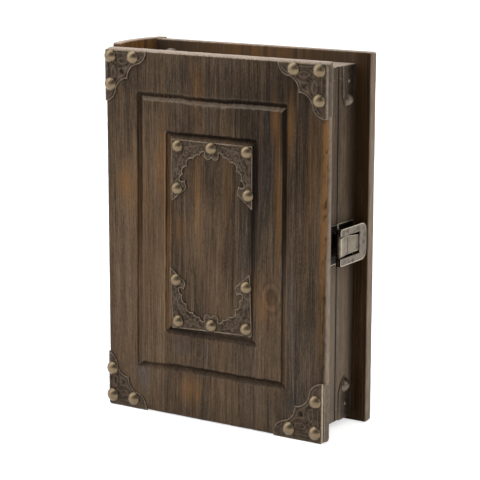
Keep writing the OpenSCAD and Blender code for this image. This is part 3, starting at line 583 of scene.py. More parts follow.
def front_cover():
    low, high = np.zeros(3), np.array([COVER_W, BOARD_T, COVER_H])
    extra_x, extra_z = [4, 5], [4, 5]
    for (left, right, foot, head), *_ in GROOVES:
        extra_x += near_lines(left, 4.5, 0.36) + near_lines(right, 3.6, 0.36)
        extra_z += near_lines(foot, 3.6, 0.4) + near_lines(head, 3.6, 0.4)
    radii = (EDGE_R, INNER_R, EDGE_R)
    lattice, faces = block(low, high, (1.0, 2.0, 2.0), radii, (extra_x, [3.0], extra_z))
    radius = EDGE_R + (INNER_R - EDGE_R) * step(lattice[:, 1], 4.0, 6.5)
    points, out = rounded(lattice, low, high, radius)
    x, y, z = points.T
    front = step(-out[:, 1], 0.2, 0.95)
    relief = 0.1 + 0.045 * noise(x / 0.9, z / 45, 3) + 0.05 * noise(x / 5, z / 90, 4)
    depth, dark, pale, warm = grooves(x, z)
    edge = np.clip(1 - edge_distance(points, low, high) / 2.6, 0, 1)
    bruise = 0.25 * edge * np.abs(noise(x / 4 + y / 3, z / 4, 8))
    points = points - out * (relief + bruise)[:, None]
    points[:, 1] += depth * front
    # A painted sheen on the faces that look up, brighter further back and dimmer on the right; edge wear joins
    # it.
    top_sheen = (0.74 + 0.03 * y - 0.07 * step(x, 120, 180)) * step(out[:, 2], 0.15, 0.6)
    wear_and_sheen = np.maximum(worn_edge(points, low, high, 1.4, 5) * 0.3, top_sheen)
    side_pale, browned = cover_fore(lattice[:, 1], y, z, out)
    knot = np.hypot(x - KNOT_X, (z - KNOT_Z) / 1.4)
    rings = 0.1 * np.sin(knot * 1.3) * bell(knot, 5, 5)
    tone = patches(x, z, TONES) + rings - 0.25 * bell(knot, 0, 3) - 0.12 * step(-out[:, 0], 0.2, 0.6)
    tone += 0.09 * noise(x / 2.6, z / 70, 61) * band(x, 57, 128, 2) * band(z, 68, 208, 4)
    warm = np.maximum(warm, patches(x, z, WARMTH)) + 1.2 * np.maximum(rings, 0)
    between = 1 - np.maximum(step(z, 225, 235), 1 - step(z, 42, 52))
    warm += between * 0.6 * browned * (1 + 0.3 * noise(z / 9, z / 31, 51))
    specks = 0.45 * between * browned * step(noise(z / 2.6, y / 1.5, 52), 0.25, 0.75)
    # dark carries the painted shade in the grooves and the dark specks on the fore side; pale carries the
    # painted light on the grooves' lit walls and the pale fore side.
    values = {"wear_and_sheen": wear_and_sheen, "warm": np.clip(warm, 0, 1), "tone": tone, "cool": patches(x, z, COOLNESS),
              "dark": np.maximum(dark * front, specks), "pale": np.maximum(pale * front, side_pale)}
    make("front_cover", "board", points, faces, values, "lid", COVER_WOOD)


def back_cover():
    low, high = np.array([-0.2, BOX_D - BOARD_T, 0]), np.array([COVER_W, BOX_D, span("back_cover")[1][2]])
    lattice, faces = block(low, high, (3.0, 2.0, 9.0), (BACK_R, INNER_R, BACK_R), ((4, 5), (), (4, 5)))
    radius = INNER_R + (BACK_R - INNER_R) * step(lattice[:, 1], low[1] + 2.5, low[1] + 5)
    points, out = rounded(lattice, low, high, radius)
    x, y, z = points.T
    near = np.clip(1 - edge_distance(points, low, high) / 2.6, 0, 1)
    relief = 0.04 + 0.03 * noise(x / 3, z / 45, 43) + 0.3 * near * np.abs(noise(x / 4 + y / 3, z / 4, 48))
    points = points - out * relief[:, None]
    # A painted sheen on the faces that look up, brighter further back; edge wear joins it.
    top_sheen = (0.6 + 0.035 * (y - low[1])) * step(out[:, 2], 0.1, 0.55)
    wear_and_sheen = np.maximum(worn_edge(points, low, high, 1.4, 45) * 0.35, top_sheen)
    pale = step(out[:, 0], 0.3, 0.8) * (0.5 - 0.13 * step(z, 200, 240) + 0.15 * noise(y / 1.5, z / 6, 46))
    points[:, 0] = np.maximum(points[:, 0], np.where(y > low[1] + 0.1, hollow_x(y), -9))
    # Painted light and shade on the inner face: darker overall and higher up, darker by the rails' fore end at
    # the top, lighter, warmer and paler round its head away from the fore edge, and darkest along its top
    # strip.
    inside = y < low[1] + 1
    lit = inside * (1 - step(x, COVER_W - 16, COVER_W - 8))
    head = bell(z, 264, 18)
    warm = lit * 0.4 * head * bell(x, 95, 40) + 0.15
    inner_shading = -0.34 + 0.12 * (1 - step(z, 70, 200))
    inner_shading -= 0.16 * step(z, 215, 240) * step(x, RIM_RIGHT - 4, RIM_RIGHT)
    inner_shading += lit * head * (0.05 + 0.12 * bell(x, 92, 32)) - 0.42 * (z > high[2] - 3.0) * lit
    pale = np.maximum(pale, 0.09 * lit * head)
    values = {"wear_and_sheen": wear_and_sheen, "warm": warm, "tone": inner_shading * inside, "pale": pale}
    make("back_cover", "board", points, faces, values, "body", BACK_WOOD)


# How many steps the spine's round and hollow sides are cut into, and its ends' radius
ROUND_STEPS, HOLLOW_STEPS = 48, 40
SPINE_END_R = 0.8


def spine_board():
    ring = []
    for r, way, steps in ((SPINE_R, 1, ROUND_STEPS), (SPINE_R - SPINE_T, -1, HOLLOW_STEPS)):
        half = way * asin(SPINE_HALF / r)
        angles = np.linspace(-half, half, steps + 1)
        ring += [(SPINE_X - r * cos(a), SPINE_Y + r * sin(a)) for a in angles]
    ring = np.array(ring)
    n = len(ring)
    index = np.arange(n)
    corner = np.minimum(index, np.abs(index - ROUND_STEPS))
    middle = np.roll(ring, 1, 0) - np.roll(ring, -1, 0)
    out = np.stack([middle[:, 1], -middle[:, 0]], -1)
    out /= np.linalg.norm(out, axis=1, keepdims=True)
    zs = ticks(0, SPINE_HIGH[2], 9.0, SPINE_END_R, (2.0, SPINE_HIGH[2] - 2.0))
    points, wear_and_sheen, warm = [], [], []
    for z in zs:
        end = min(z, SPINE_HIGH[2] - z)
        inset = SPINE_END_R - sqrt(SPINE_END_R**2 - max(SPINE_END_R - end, 0) ** 2)
        relief = 0.04 + 0.04 * noise(ring[:, 1] / 1.5, np.full(n, z / 45), 63)
        points.append(np.column_stack([ring - out * (inset + relief)[:, None], np.full(n, z)]))
        wear_and_sheen.append(np.clip(1 - end / 1.8, 0, 1) * 0.9 + bell(corner, 0, 0.8) * 0.3)
        warm.append(0.1 + 0.7 * (index > ROUND_STEPS) * bell(end, 0, 40))
    faces = [(f[0], *f[:0:-1]) for f in ring_faces(len(zs), n)]
    top = (len(zs) - 1) * n
    for i in range(ROUND_STEPS):
        j0, j1 = (ROUND_STEPS + 1 + round(HOLLOW_STEPS - k * HOLLOW_STEPS / ROUND_STEPS) for k in (i, i + 1))
        quad = [i, i + 1, j1, j0] if j0 != j1 else [i, i + 1, j0]
        faces.append(tuple(top + q for q in reversed(quad)))
        faces.append(tuple(quad))
    values = {"wear_and_sheen": np.concatenate(wear_and_sheen), "warm": np.concatenate(warm)}
    make("spine_board", "piece", np.concatenate(points), faces, values, "body", SPINE_WOOD, 50)


front_cover()
back_cover()
spine_board()
for part in ("lid", "body"):
    for number, side in enumerate(("top", "bottom", "fore", "spine")):
        level = side in ("top", "bottom")
        material, grain = (RAIL_WOOD, "x") if level else (RIM_WOOD, "z")
        seed = 70 + number + 10 * (part == "body")
        plank(f"{part}_{side}_rail", part, material, grain, seed, trim=part == "body" and level)


# Pressed plates


def arc(centre, r, start, end, count):
    """Points on an arc, from one angle in degrees to another."""
    angles = np.radians(np.linspace(start, end, count))
    return [(centre[0] + r * cos(a), centre[1] + r * sin(a)) for a in angles]


def distance_to(points, line):
    """Distance from points to a polyline."""
    line = np.asarray(line, float)
    best = np.full(len(points), 1e9)
    for a, b in zip(line[:-1], line[1:]):
        d = b - a
        t = np.clip(((points - a) @ d) / max(d @ d, 1e-12), 0, 1)
        best = np.minimum(best, np.hypot(*(points - a - t[:, None] * d).T))
    return best


def filled(outline, gap):
    """Fills an outline with triangles, over a staggered grid of points that come after the outline's own."""
    outline = np.asarray(outline, float)
    low, high = outline.min(0), outline.max(0)
    gx, gy = np.meshgrid(np.arange(low[0], high[0], gap), np.arange(low[1], high[1], gap))
    gx = gx + gap / 2 * (np.arange(gx.shape[0]) % 2)[:, None]
    grid = np.stack([gx.ravel(), gy.ravel()], -1)
    closed = np.vstack([outline, outline[:1]])
    inside = np.zeros(len(grid), bool)
    for (ax, ay), (bx, by) in zip(closed[:-1], closed[1:]):
        crosses = (ay > grid[:, 1]) != (by > grid[:, 1])
        at = ax + (grid[:, 1] - ay) / np.where(by == ay, 1e-9, by - ay) * (bx - ax)
        inside ^= crosses & (grid[:, 0] < at)
    grid = grid[inside & (distance_to(grid, closed) > gap * 0.45)]
    count = len(outline)
    every = np.vstack([outline, grid])
    edges = [(i, (i + 1) % count) for i in range(count)]
    every = [Vector(p) for p in every]
    verts, _, faces, *_ = delaunay_2d_cdt(every, edges, [list(range(count))], 1, 1e-7)
    return np.array([tuple(v) for v in verts]), [tuple(f) for f in faces]


def resample(points, gap):
    """A closed outline with points no further apart than gap."""
    out = []
    for a, b in zip(points, points[1:] + points[:1]):
        a, b = np.array(a, float), np.array(b, float)
        n = max(1, int(ceil(np.linalg.norm(b - a) / gap)))
        out += [tuple(a + (b - a) * i / n) for i in range(n)]
    return out


def pressed(outline, lines, place, gap, t=PLATE_T, rim=0.28, scroll=0.3, pits=(), lit=None):
    """One embossed plate. place turns flat points and heights into points; lines are raised scrolls.

    rim and scroll are how high its border and lines stand. lit gives the painted highlight that each point gets
    besides.
    """
    border = resample(outline, gap)
    count = len(border)
    flat, faces = filled(border, gap)
    closed = np.vstack([outline, outline[:1]])
    edge = distance_to(flat, closed)
    bead = bell(edge, 0.38, 0.27)
    height = rim * bead - 0.1 * bell(edge, 1.3, 0.5)
    near = np.full(len(flat), 9.0)
    for line in lines:
        near = np.minimum(near, distance_to(flat, line))
    ridge = bell(near, 0, 0.55)
    height = height + scroll * ridge
    hollow = bell(near, 1.15, 0.5) * 0.6
    for centre, size in pits:
        hole = bell(np.hypot(*(flat - centre).T), 0, size)
        hollow, height = np.maximum(hollow, hole), height - 0.35 * hole
    height = height + 0.05 * noise(flat[:, 0] / 0.9, flat[:, 1] / 0.9, 7)
    height = np.minimum(height * step(edge, 0, 0.35), 0.4)
    wear_and_sheen = 1 + 0.6 * noise(flat[:, 0] / 3, flat[:, 1] / 3, 17)
    # Wear on the rim and scrolls, and painted highlight from lit.
    rub_and_highlight = (0.34 * bead + 0.06 * ridge) * wear_and_sheen + 0.3 * (edge < 0.1) + (lit(flat) if lit else 0)
    rub_and_highlight = np.clip(rub_and_highlight, 0, 1)
    deep = 0.8 * hollow * (1 - bead) + 0.1 + 0.2 * noise(flat[:, 0] / 2.6, flat[:, 1] / 2.6, 27)
    deep = np.clip(deep, 0, 1)
    top = place(flat, t + height)
    back = place(flat[:count], np.zeros(count))
    n = len(flat)
    ring = [(i, (i + 1) % count) for i in range(count)]
    sides = [(b, a, n + a, n + b) for a, b in ring]
    a, b, c = (np.array(top[i]) for i in faces[0][:3])
    up = np.array(place(flat[:1], np.array([1.0])))[0] - np.array(place(flat[:1], np.array([0.0])))[0]
    if np.dot(np.cross(b - a, c - a), up) < 0:
        faces = [tuple(reversed(f)) for f in faces]
        sides = [tuple(reversed(f)) for f in sides]
    return (np.vstack([top, back]), faces + sides,
            np.concatenate([rub_and_highlight, np.full(count, 0.3)]), np.concatenate([deep, np.full(count, 0.5)]))


SPIRAL_STEPS = 25


def spiral(centre, r, start, turns):
    """A scroll that winds in from r to almost nothing."""
    out = []
    for i in range(SPIRAL_STEPS + 1):
        f = i / SPIRAL_STEPS
        a = radians(start) + turns * 2 * pi * f
        rr = r * (1 - f) + 0.25
        out.append((centre[0] + rr * cos(a), centre[1] + rr * sin(a)))
    return out


def cover_height(x, z):
    """How far back the front cover's rounded surface lies at x, z."""
    edge = np.minimum(np.minimum(x, COVER_W - x), np.minimum(z, COVER_H - z))
    inner = np.clip(EDGE_R - edge, 0, EDGE_R - 0.01)
    return EDGE_R - np.sqrt(EDGE_R**2 - inner**2)


LEG = 38.5
# The middles of the two scallops on a corner plate's leg, and the hollows pressed into it with their sizes
SCALLOPS = (LEG - 11, 0.0), (LEG - 7, 20.5)
CORNER_PITS = (
    ((11.2, 11.2), 0.9), ((16.4, 16.4), 1.9), ((15.2, 15.2), 1.2), ((10.6, 8.2), 0.7), ((8.2, 10.6), 0.7),
    ((21.6, 10.6), 0.7), ((10.6, 21.6), 0.7),
)
# How each corner plate was nailed on: whether right, whether top, insets from the side and the end, and its
# shift and stretch both ways
CORNERS = {
    "top_left": (0, 1, 0.3, 1.5, (0.2, 0.6), (0.98, 1.02)),
    "top_right": (1, 1, 0.4, 1.5, (0.7, 0.6), (1.01, 1.02)),
    "bottom_left": (0, 0, 0.1, 0.4, (-1.0, 2.0), (0.95, 1.03)),
    "bottom_right": (1, 0, 0.9, 0.4, (1.0, 1.5), (1.06, 1.13)),
}


def nailed(name, points):
    """A corner plate's points, measured from the cover's corner, as it was nailed on."""
    shift, stretch = CORNERS[name][4:]
    return [(shift[0] + a * stretch[0], shift[1] + b * stretch[1]) for a, b in points]


def corner_outline(name):
    side_in, end_in = CORNERS[name][2:4]
    half = arc(SCALLOPS[0], 10.4, 2, 78, 14) + arc(SCALLOPS[1], 10.6, 257, 178, 14)
    curve = nailed(name, half + [(b, a) for a, b in reversed(half)])
    curve = [(a, b) for a, b in curve if a > side_in + 0.15 and b > end_in + 0.15]
    return [(side_in + 1.6, end_in), (curve[0][0], end_in)] + curve + [
        (side_in, curve[-1][1]), (side_in, end_in + 1.6), (side_in + 0.5, end_in + 0.5)]


def corner_figure():
    """A window near the plate's point, and on each leg a leaf and lines inside the scallops and the edge."""
    leaf = [(12.0, 8.3), (13.6, 7.0), (16.8, 6.4), (20.8, 7.2), (20.2, 9.4), (17.6, 10.4), (14.6, 10.1),
            (12.0, 8.3)]
    one = [leaf, arc(SCALLOPS[0], 7.9, 32, 74, 8), arc(SCALLOPS[1], 13.0, 252, 196, 12),
           [(9.6, 2.9), (20.4, 2.9)]]
    window = [(13.6, 13.6), (17.0, 13.9), (20.4, 12.7), (18.9, 15.6), (18.2, 18.2), (15.6, 18.9),
              (12.7, 20.4), (13.9, 17.0), (13.6, 13.6)]
    return one + [[(b, a) for a, b in line] for line in one] + [window]


def wrap(top, outline):
    """The tongue by which a corner plate goes round to the cover's fore side."""
    foot, head = min(v for _, v in outline) + 0.8, outline[-3][1] - 0.4
    tongue = [(1.4, foot), (6.6, foot), (7.9, foot + 1.3), (7.9, head - 2.2), (6.6, head - 0.6), (1.4, head)]

    def place(flat, height):
        y, v = flat.T
        off = np.hypot(np.maximum(EDGE_R - y, 0), np.maximum(EDGE_R - v, 0))
        x = COVER_W - EDGE_R + np.sqrt(np.maximum(EDGE_R**2 - off**2, 0)) + height
        return np.stack([x, y, COVER_H - v if top else v], -1)

    # A painted highlight on the tongue: on the upper plates it grows towards the back, on the lower ones it is
    # even.
    return pressed(tongue, [], place, 0.7, 0.3, 0.1,
                   lit=lambda flat: np.clip(0.028 * flat[:, 0] - 0.02, 0, 1) if top else 0.17)


def corner_plate(name, right, top):
    def place(flat, height):
        u, v = flat.T
        x, z = (COVER_W - u if right else u), (COVER_H - v if top else v)
        y = cover_height(x, z)
        e = 0.05
        slope_x = (cover_height(x + e, z) - cover_height(x - e, z)) / (2 * e)
        slope_z = (cover_height(x, z + e) - cover_height(x, z - e)) / (2 * e)
        normal = np.stack([slope_x, -np.ones(len(x)), slope_z], -1)
        normal /= np.linalg.norm(normal, axis=1, keepdims=True)
        return np.stack([x, y, z], -1) + normal * height[:, None]

    outline = corner_outline(name)
    lines = [nailed(name, line) for line in corner_figure()]
    pits = [(nailed(name, [at])[0], size) for at, size in CORNER_PITS]
    # A painted highlight along the right plates' edge by the fore side, brighter on the lower one.
    bright = 0.22 if top else 0.6
    lit = (lambda flat: bright * (flat[:, 0] < outline[-1][0] + 0.3)) if right else None
    parts = [pressed(outline, lines, place, 0.5, pits=pits, lit=lit)] + [wrap(top, outline)] * right
    gather(f"corner_plate_{name}", "pressed", parts, "lid", PLATE_METAL, 60)


CENTRE_W, CENTRE_H = 68.6, 45.0
SCALLOP_R = 4.0
CUSPS = ((6.2, 7.2), (10.1, 10.3), (15.4, 13.3), (20.6, 19.0), (24.5, 25.1), (27.4, 29.7))
CENTRE_PITS = ((12.0, 7.6), (25.0, 9.0), (28.6, 26.4), (18.0, 11.0))
LOWER_PLATE_TURN = 2.2


def centre_outline():
    """The arch plate, from the middle of its bar's edge, right side first, with v down the legs."""
    right = [(0.0, 11.0)] + arc((3.1, 9.5), 3.2, 150, -20, 12)
    for p, q in zip(CUSPS[:-1], CUSPS[1:]):
        p, q = np.array(p), np.array(q)
        d = q - p
        n = np.array([-d[1], d[0]]) / np.linalg.norm(d)
        n = n if n @ (np.array([0, 35]) - (p + q) / 2) > 0 else -n
        c = (p + q) / 2 + n * sqrt(SCALLOP_R**2 - d @ d / 4)
        a0, a1 = (degrees(atan2(*(s - c)[::-1])) for s in (p, q))
        right += arc(c, SCALLOP_R, a0, a1, 9)[:-1]
    right += [(27.2, 29.9), (26.0, 30.3), (24.0, 29.9), (22.8, 29.0), (22.6, 30.6)]
    right += arc((25.3, 33.5), 3.6, 215, 110, 12) + [(24.3, 37.4), (28.8, 40.9), (33.8, CENTRE_H)]
    right += [(CENTRE_W / 2, CENTRE_H - 0.4), (CENTRE_W / 2, 0.0)]
    return [(-a, b) for a, b in reversed(right[1:])] + right


def centre_scrolls():
    one = [
        spiral((21.4, 9.4), 3.4, 200, 1.4), spiral((14.6, 7.0), 2.4, 20, -1.3),
        spiral((27.2, 15.6), 3.0, 250, -1.3), spiral((29.4, 23.0), 2.6, 80, 1.3),
        spiral((22.6, 14.6), 1.8, 120, 1.2), spiral((30.4, 10.6), 1.8, 0, 1.2),
        spiral((18.4, 2.8), 1.2, 90, 1.0), spiral((24.8, 33.2), 2.2, 180, 1.3),
        arc((9.6, 5.6), 1.9, -40, 200, 9), arc((31.2, 29.0), 1.7, 90, 330, 9),
        arc((3.1, 9.2), 1.7, 20, 200, 9), arc((30.8, 40.4), 1.3, 0, 200, 8),
        [(9.0, 2.6), (13.0, 3.4), (18.0, 4.6), (23.5, 5.4)],
        [(24.6, 10.8), (26.0, 12.2), (28.6, 19.0), (30.2, 27.0)], [(32.2, 14.0), (31.8, 21.0), (32.4, 27.0)],
    ]
    return one + [[(-a, b) for a, b in line] for line in one]


def centre_spot(name, u, v):
    """Where a centre plate's point lies on the cover. The lower plate sits a little askew."""
    if name == "upper":
        return COVER_W / 2 + u, span("centre_plate_upper")[1][2] - v
    c, s = cos(radians(LOWER_PLATE_TURN)), sin(radians(LOWER_PLATE_TURN))
    return COVER_W / 2 + u * c - v * s, span("centre_plate_lower")[0][2] + 0.1 + u * s + v * c


def centre_plate(name):
    def place(flat, height):
        x, z = centre_spot(name, *flat.T)
        return np.stack([x, -height, z], -1)

    pits = [((s * a, b), 0.8) for s in (-1, 1) for a, b in CENTRE_PITS]
    plate = pressed(centre_outline(), centre_scrolls(), place, 0.5, rim=0.22, scroll=0.26, pits=pits)
    gather(f"centre_plate_{name}", "pressed", [plate], "lid", PLATE_METAL, 60)


STRAP_W, STRAP_L = 17.0, 32.0


def strap_outline():
    point = STRAP_W * sqrt(3) / 2
    w, base = STRAP_W / 2, STRAP_L - point
    right = [(w, 0.0), (w, base)] + arc((-w, base), STRAP_W, 4, 56, 12) + [(0.0, STRAP_L)]
    return right + [(-a, b) for a, b in reversed(right[:-1])]


def strap(part, end):
    """A pointed strap: upright on the lid's or body's fore-edge, or level on the rim by the spine."""
    node = f"{part}_strap_{end}"
    low, high = span(node)
    upright = part != "spine"

    def place(flat, height):
        x, off = (height, flat[:, 1]) if upright else (flat[:, 1], height)
        z = low[2] + off if (end == "bottom") == upright else high[2] - off
        return np.stack([low[0] + x, (low[1] + high[1]) / 2 + flat[:, 0], z], -1)

    inner = [(a * 0.72, 2.6 + b * 0.8) for a, b in strap_outline()]
    lines = [inner, spiral((0, 7.0), 2.6, 90, 1.2), arc((0, 16.5), 3.6, 200, 340, 10)]
    # A painted highlight on the front side of the upright straps.
    lit = (lambda flat: 0.13 * (1 - step(flat[:, 0], -7, 3))) if upright else None
    plate = pressed(strap_outline(), lines, place, 0.8, rim=0.22, scroll=0.16, lit=lit)
    gather(node, "pressed", [plate], part if upright else "body", PLATE_METAL, 60)


for name, (right, top, *_) in CORNERS.items():
    corner_plate(name, right, top)
centre_plate("upper")
centre_plate("lower")
for part in ("lid", "body", "spine"):
    strap(part, "top")
    strap(part, "bottom")


# Studs and nails


def turned(axis):
    """Two directions square to an axis."""
    axis = np.asarray(axis, float)
    side = np.array([0.0, 0, 1]) if abs(axis[2]) < 0.9 else np.array([1.0, 0, 0])
    u = np.cross(side, axis)
    u /= np.linalg.norm(u)
    return u, np.cross(axis, u)


def dome(centre, axis, d, h, seed, segments=32, rings=9):
    """A domed head with a soft lip, a little out of round, as hammered studs are."""
    axis = np.asarray(axis, float)
    u, v = turned(axis)
    r = d / 2
    ball = (r * r + h * h) / (2 * h)
    top = asin(min(r / ball, 1.0))
    points, rub_and_highlight, deep = [], [], []
    profile = [(r - 0.3, -0.02, 0.0, 0.8), (r - 0.02, 0.1, 0.3, 0.6), (r, 0.32, 0.6, 0.2)]
    for i in range(1, rings):
        a = top * (1 - i / rings)
        profile.append((ball * sin(a), h - ball + ball * cos(a), 0.15, 0.06))
    rng = np.random.default_rng(seed)
    dents = rng.uniform(-1, 1, (4, 3))
    for radius, height, rub_and_shine, dark in profile:
        for s in range(segments):
            t = 2 * pi * s / segments
            x, y = radius / r * cos(t), radius / r * sin(t)
            dent = sum(0.05 * k * exp(-((x - a) ** 2 + (y - b) ** 2) * 5) for a, b, k in dents)
            lift = height + dent * min(1, height / h)
            points.append(centre + u * radius * cos(t) + v * radius * sin(t) + axis * lift)
            rub_and_highlight.append(rub_and_shine)
            deep.append(dark)
    points.append(centre + axis * h)
    rub_and_highlight.append(0.2)
    deep.append(0.0)
    n = segments
    last = (len(profile) - 1) * n
    faces = ring_faces(len(profile), n) + [(last + s, last + (s + 1) % n, last + n) for s in range(n)]
    return points, faces, rub_and_highlight, deep


STUD_D, CENTRE_STUD_D, STUD_H, SPINE_STUD_H = 10.0, 9.6, 3.4, 2.4
NAIL_D, NAIL_H = 3.0, 1.0
# Places on a corner plate from the cover's corner, and on a centre plate from the middle of its bar's edge
CORNER_STUDS = ((5.4, 5.4), (25.5, 5.4), (5.4, 25.5))
CENTRE_STUDS = ((-29.3, 5.0), (-0.5, 4.4), (29.3, 4.6), (-29.9, 35.9), (30.6, 35.4))
# How far from the straps' straight ends their studs and nails are
STRAP_STUD, STRAP_NAIL, SPINE_STUD = 24.5, 11, 21.3


def studs():
    corner, centre, spine = [], [], []
    seed = 100
    for name, (right, top, *_) in CORNERS.items():
        for a, b in nailed(name, CORNER_STUDS):
            seed += 1
            at = np.array([COVER_W - a if right else a, -PLATE_T, COVER_H - b if top else b])
            corner.append(dome(at, (0, -1, 0), STUD_D, STUD_H, seed))
    gather("corner_studs", "domed", corner, "lid", STUD_METAL)
    for name in ("upper", "lower"):
        for u, v in CENTRE_STUDS:
            seed += 1
            x, z = centre_spot(name, u, v)
            centre.append(dome(np.array([x, -PLATE_T, z]), (0, -1, 0), CENTRE_STUD_D, STUD_H, seed))
    gather("centre_studs", "domed", centre, "lid", STUD_METAL)
    for part in ("lid", "body"):
        low, high = span(f"{part}_strap_top")
        x, y = RIM_RIGHT + PLATE_T, (low[1] + high[1]) / 2
        big, small = [], []
        for z, way in ((RIM_LOW, 1), (RIM_HIGH, -1)):
            seed += 1
            big.append(dome(np.array([x, y, z + way * STRAP_STUD]), (1, 0, 0), STUD_D, STUD_H, seed))
            small.append(dome(np.array([x, y, z + way * STRAP_NAIL]), (1, 0, 0), NAIL_D, NAIL_H, seed, 16, 5))
        gather(f"{part}_strap_studs", "domed", big, part, STRAP_STUD_METAL)
        gather(f"{part}_strap_nails", "domed", small, part, STRAP_STUD_METAL)
    low, high = span("spine_strap_top")
    for z, way in ((RIM_HIGH + PLATE_T, 1), (RIM_LOW - PLATE_T, -1)):
        at = np.array([low[0] + SPINE_STUD, (low[1] + high[1]) / 2, z])
        spine.append(dome(at, (0, 0, way), STUD_D, SPINE_STUD_H, 300 + way))
    gather("spine_strap_studs", "domed", spine, "body", STUD_METAL)


studs()


# Latch and hinges

# Angles in degrees: faces that count as one, edges that are softened, and edges that stay hard
FLAT_ANGLE, SOFTENED_ANGLE, HARD_ANGLE = 1.5, 28, 32


def bright_lines(bm, width, near_width):
    """Thin strips of painted highlight along the outward faces' outer edges, and how wide they are at the near
    end.
    """
    outer = [face for face in bm.faces if face.normal.x > 0.95 and face.calc_area() > 6 * MM * MM]
    corners = [v.co for face in outer for v in face.verts]
    low, high = ([pick(co[axis] for co in corners) for axis in (1, 2)] for pick in (min, max))
    strips = []
    for face in outer:
        for loop in face.loops:
            a, b = loop.vert.co, loop.link_loop_next.vert.co
            middle = (a + b) / 2
            reach = min(min(middle[axis + 1] - low[axis], high[axis] - middle[axis + 1]) for axis in (0, 1))
            if sum(other in outer for other in loop.edge.link_faces) > 1 or reach > 2.6 * MM:
                continue
            inward = face.normal.cross(b - a).normalized()
            inward *= (near_width if inward.y > 0.9 else width) * MM
            lift = face.normal * 0.02 * MM
            strips.append([a + lift, b + lift, b + inward + lift, a + inward + lift])
    return [bm.faces.new([bm.verts.new(corner) for corner in strip]) for strip in strips]


def dressed(node, body, material, bevel, crease=None, lined=None):
    """The CAD piece with soft edges, brightened by wear and by painted highlight. crease tells which edge
    middles, in millimetres, are folds; these get painted shade.

    lined gives the widths of the painted highlight round its outward faces and at their near ends; faces turned
    to the front then get painted shade as well.
    """
    piece = frame["nodes"][node]
    bm = bmesh.new()
    bm.from_mesh(piece.data)
    bm.transform(piece.matrix_world)
    bmesh.ops.remove_doubles(bm, verts=bm.verts, dist=1e-6)
    bmesh.ops.dissolve_limit(bm, angle_limit=radians(FLAT_ANGLE), verts=bm.verts, edges=bm.edges)
    rub_and_highlight, deep = bm.faces.layers.float.new("rub_and_highlight"), bm.faces.layers.float.new("deep")

    def soften(edges, size, segments):
        return bmesh.ops.bevel(bm, geom=edges, offset=size * MM, offset_type="OFFSET", segments=segments,
                               profile=0.5, affect="EDGES", clamp_overlap=True)["faces"]

    if crease:
        folds = [e for e in bm.edges if crease(*((e.verts[0].co + e.verts[1].co) / 2 - Vector(ORIGIN)) / MM)]
        # Painted shade in the lever's crease.
        for face in soften(folds, 0.45, 1):
            face[deep] = 1.0
    least = radians(SOFTENED_ANGLE)
    hard = [e for e in bm.edges if len(e.link_faces) == 2 and e.calc_face_angle() > least]
    if lined:
        hard = [e for e in hard if e.calc_length() > 1.5 * MM]
    # Wear and painted highlight on the softened edges.
    for face in soften(hard, bevel, 2) if bevel else ():
        face[rub_and_highlight] = 0.9
    bm.normal_update()
    if lined:
        # Painted shade on the faces turned to the front.
        for face in bm.faces:
            if face.normal.y < -0.6:
                face[deep] = 0.85
        # Painted highlight strips round the outward faces.
        for face in bright_lines(bm, *lined):
            face[rub_and_highlight] = 1.0
    mesh = bpy.data.meshes.new(node + "_dressed")
    bm.to_mesh(mesh)
    bm.free()
    add_piece(node, mesh, body, material, HARD_ANGLE)


def fold(x, y, z):
    """The lever's crease over the split."""
    return x > RIM_RIGHT + 6 and abs(y - LID_BACK - 0.4) < 0.3


dressed("latch_base", "lid", SHADED_LATCH_METAL, 0.5, lined=(0.4, 0.4))
dressed("latch_keeper", "body", SHADED_LATCH_METAL, 0.5, lined=(0.4, 0.4))
dressed("latch_lever", "latch_lever", LATCH_METAL, 0.28, fold, lined=(0.35, 1.5))
dressed("latch_frame", "latch_frame", FRAME_METAL, 0.0, lined=(0.55, 0.55))
dressed("latch_pin", "lid", SHADED_LATCH_METAL, 0.2)
dressed("latch_base_nails", "lid", SHADED_LATCH_METAL, 0.1)
dressed("latch_keeper_nails", "body", SHADED_LATCH_METAL, 0.1)
for end in ("upper", "lower"):
    dressed(f"{end}_hinge_lid_leaf", "lid", HINGE_METAL, 0.15)
    dressed(f"{end}_hinge_body_leaf", "body", HINGE_METAL, 0.15)
    dressed(f"{end}_hinge_pin", "body", HINGE_METAL, 0.15)
for node, body in (("hinge_lid_screws", "lid"), ("hinge_body_screws", "body")):
    frame["nodes"][node].data.materials.clear()
    frame["nodes"][node].data.materials.append(HINGE_METAL)


# Camera and stage

# Fitted to the photograph: turn, tilt and roll in degrees, the point aimed at, the distance to it and the
# camera's shifts to the right and up in millimetres, and the focal length in the photo's pixels
AZIMUTH, ELEVATION, ROLL = 32.5318, 11.8217, 0.0967
AIM = np.array([92.5, 36.0, 135.0])
DISTANCE, SHIFT_RIGHT, SHIFT_UP = 1343.82, 1.562, -4.374
FOCAL_LENGTH, PHOTO_SIDE = 1832.7, 480
SENSOR = 36.0
# The floor's half side, how far it lies below the object, and the point that the lamps face, in metres
FLOOR_HALF, FLOOR_DROP = 12.0, 0.0002
LAMP_AIM = (0, 0, 0.13)
# The way along which the studio dims in reflections
RIGHTWARD = (0.85, -0.35, 0.38)


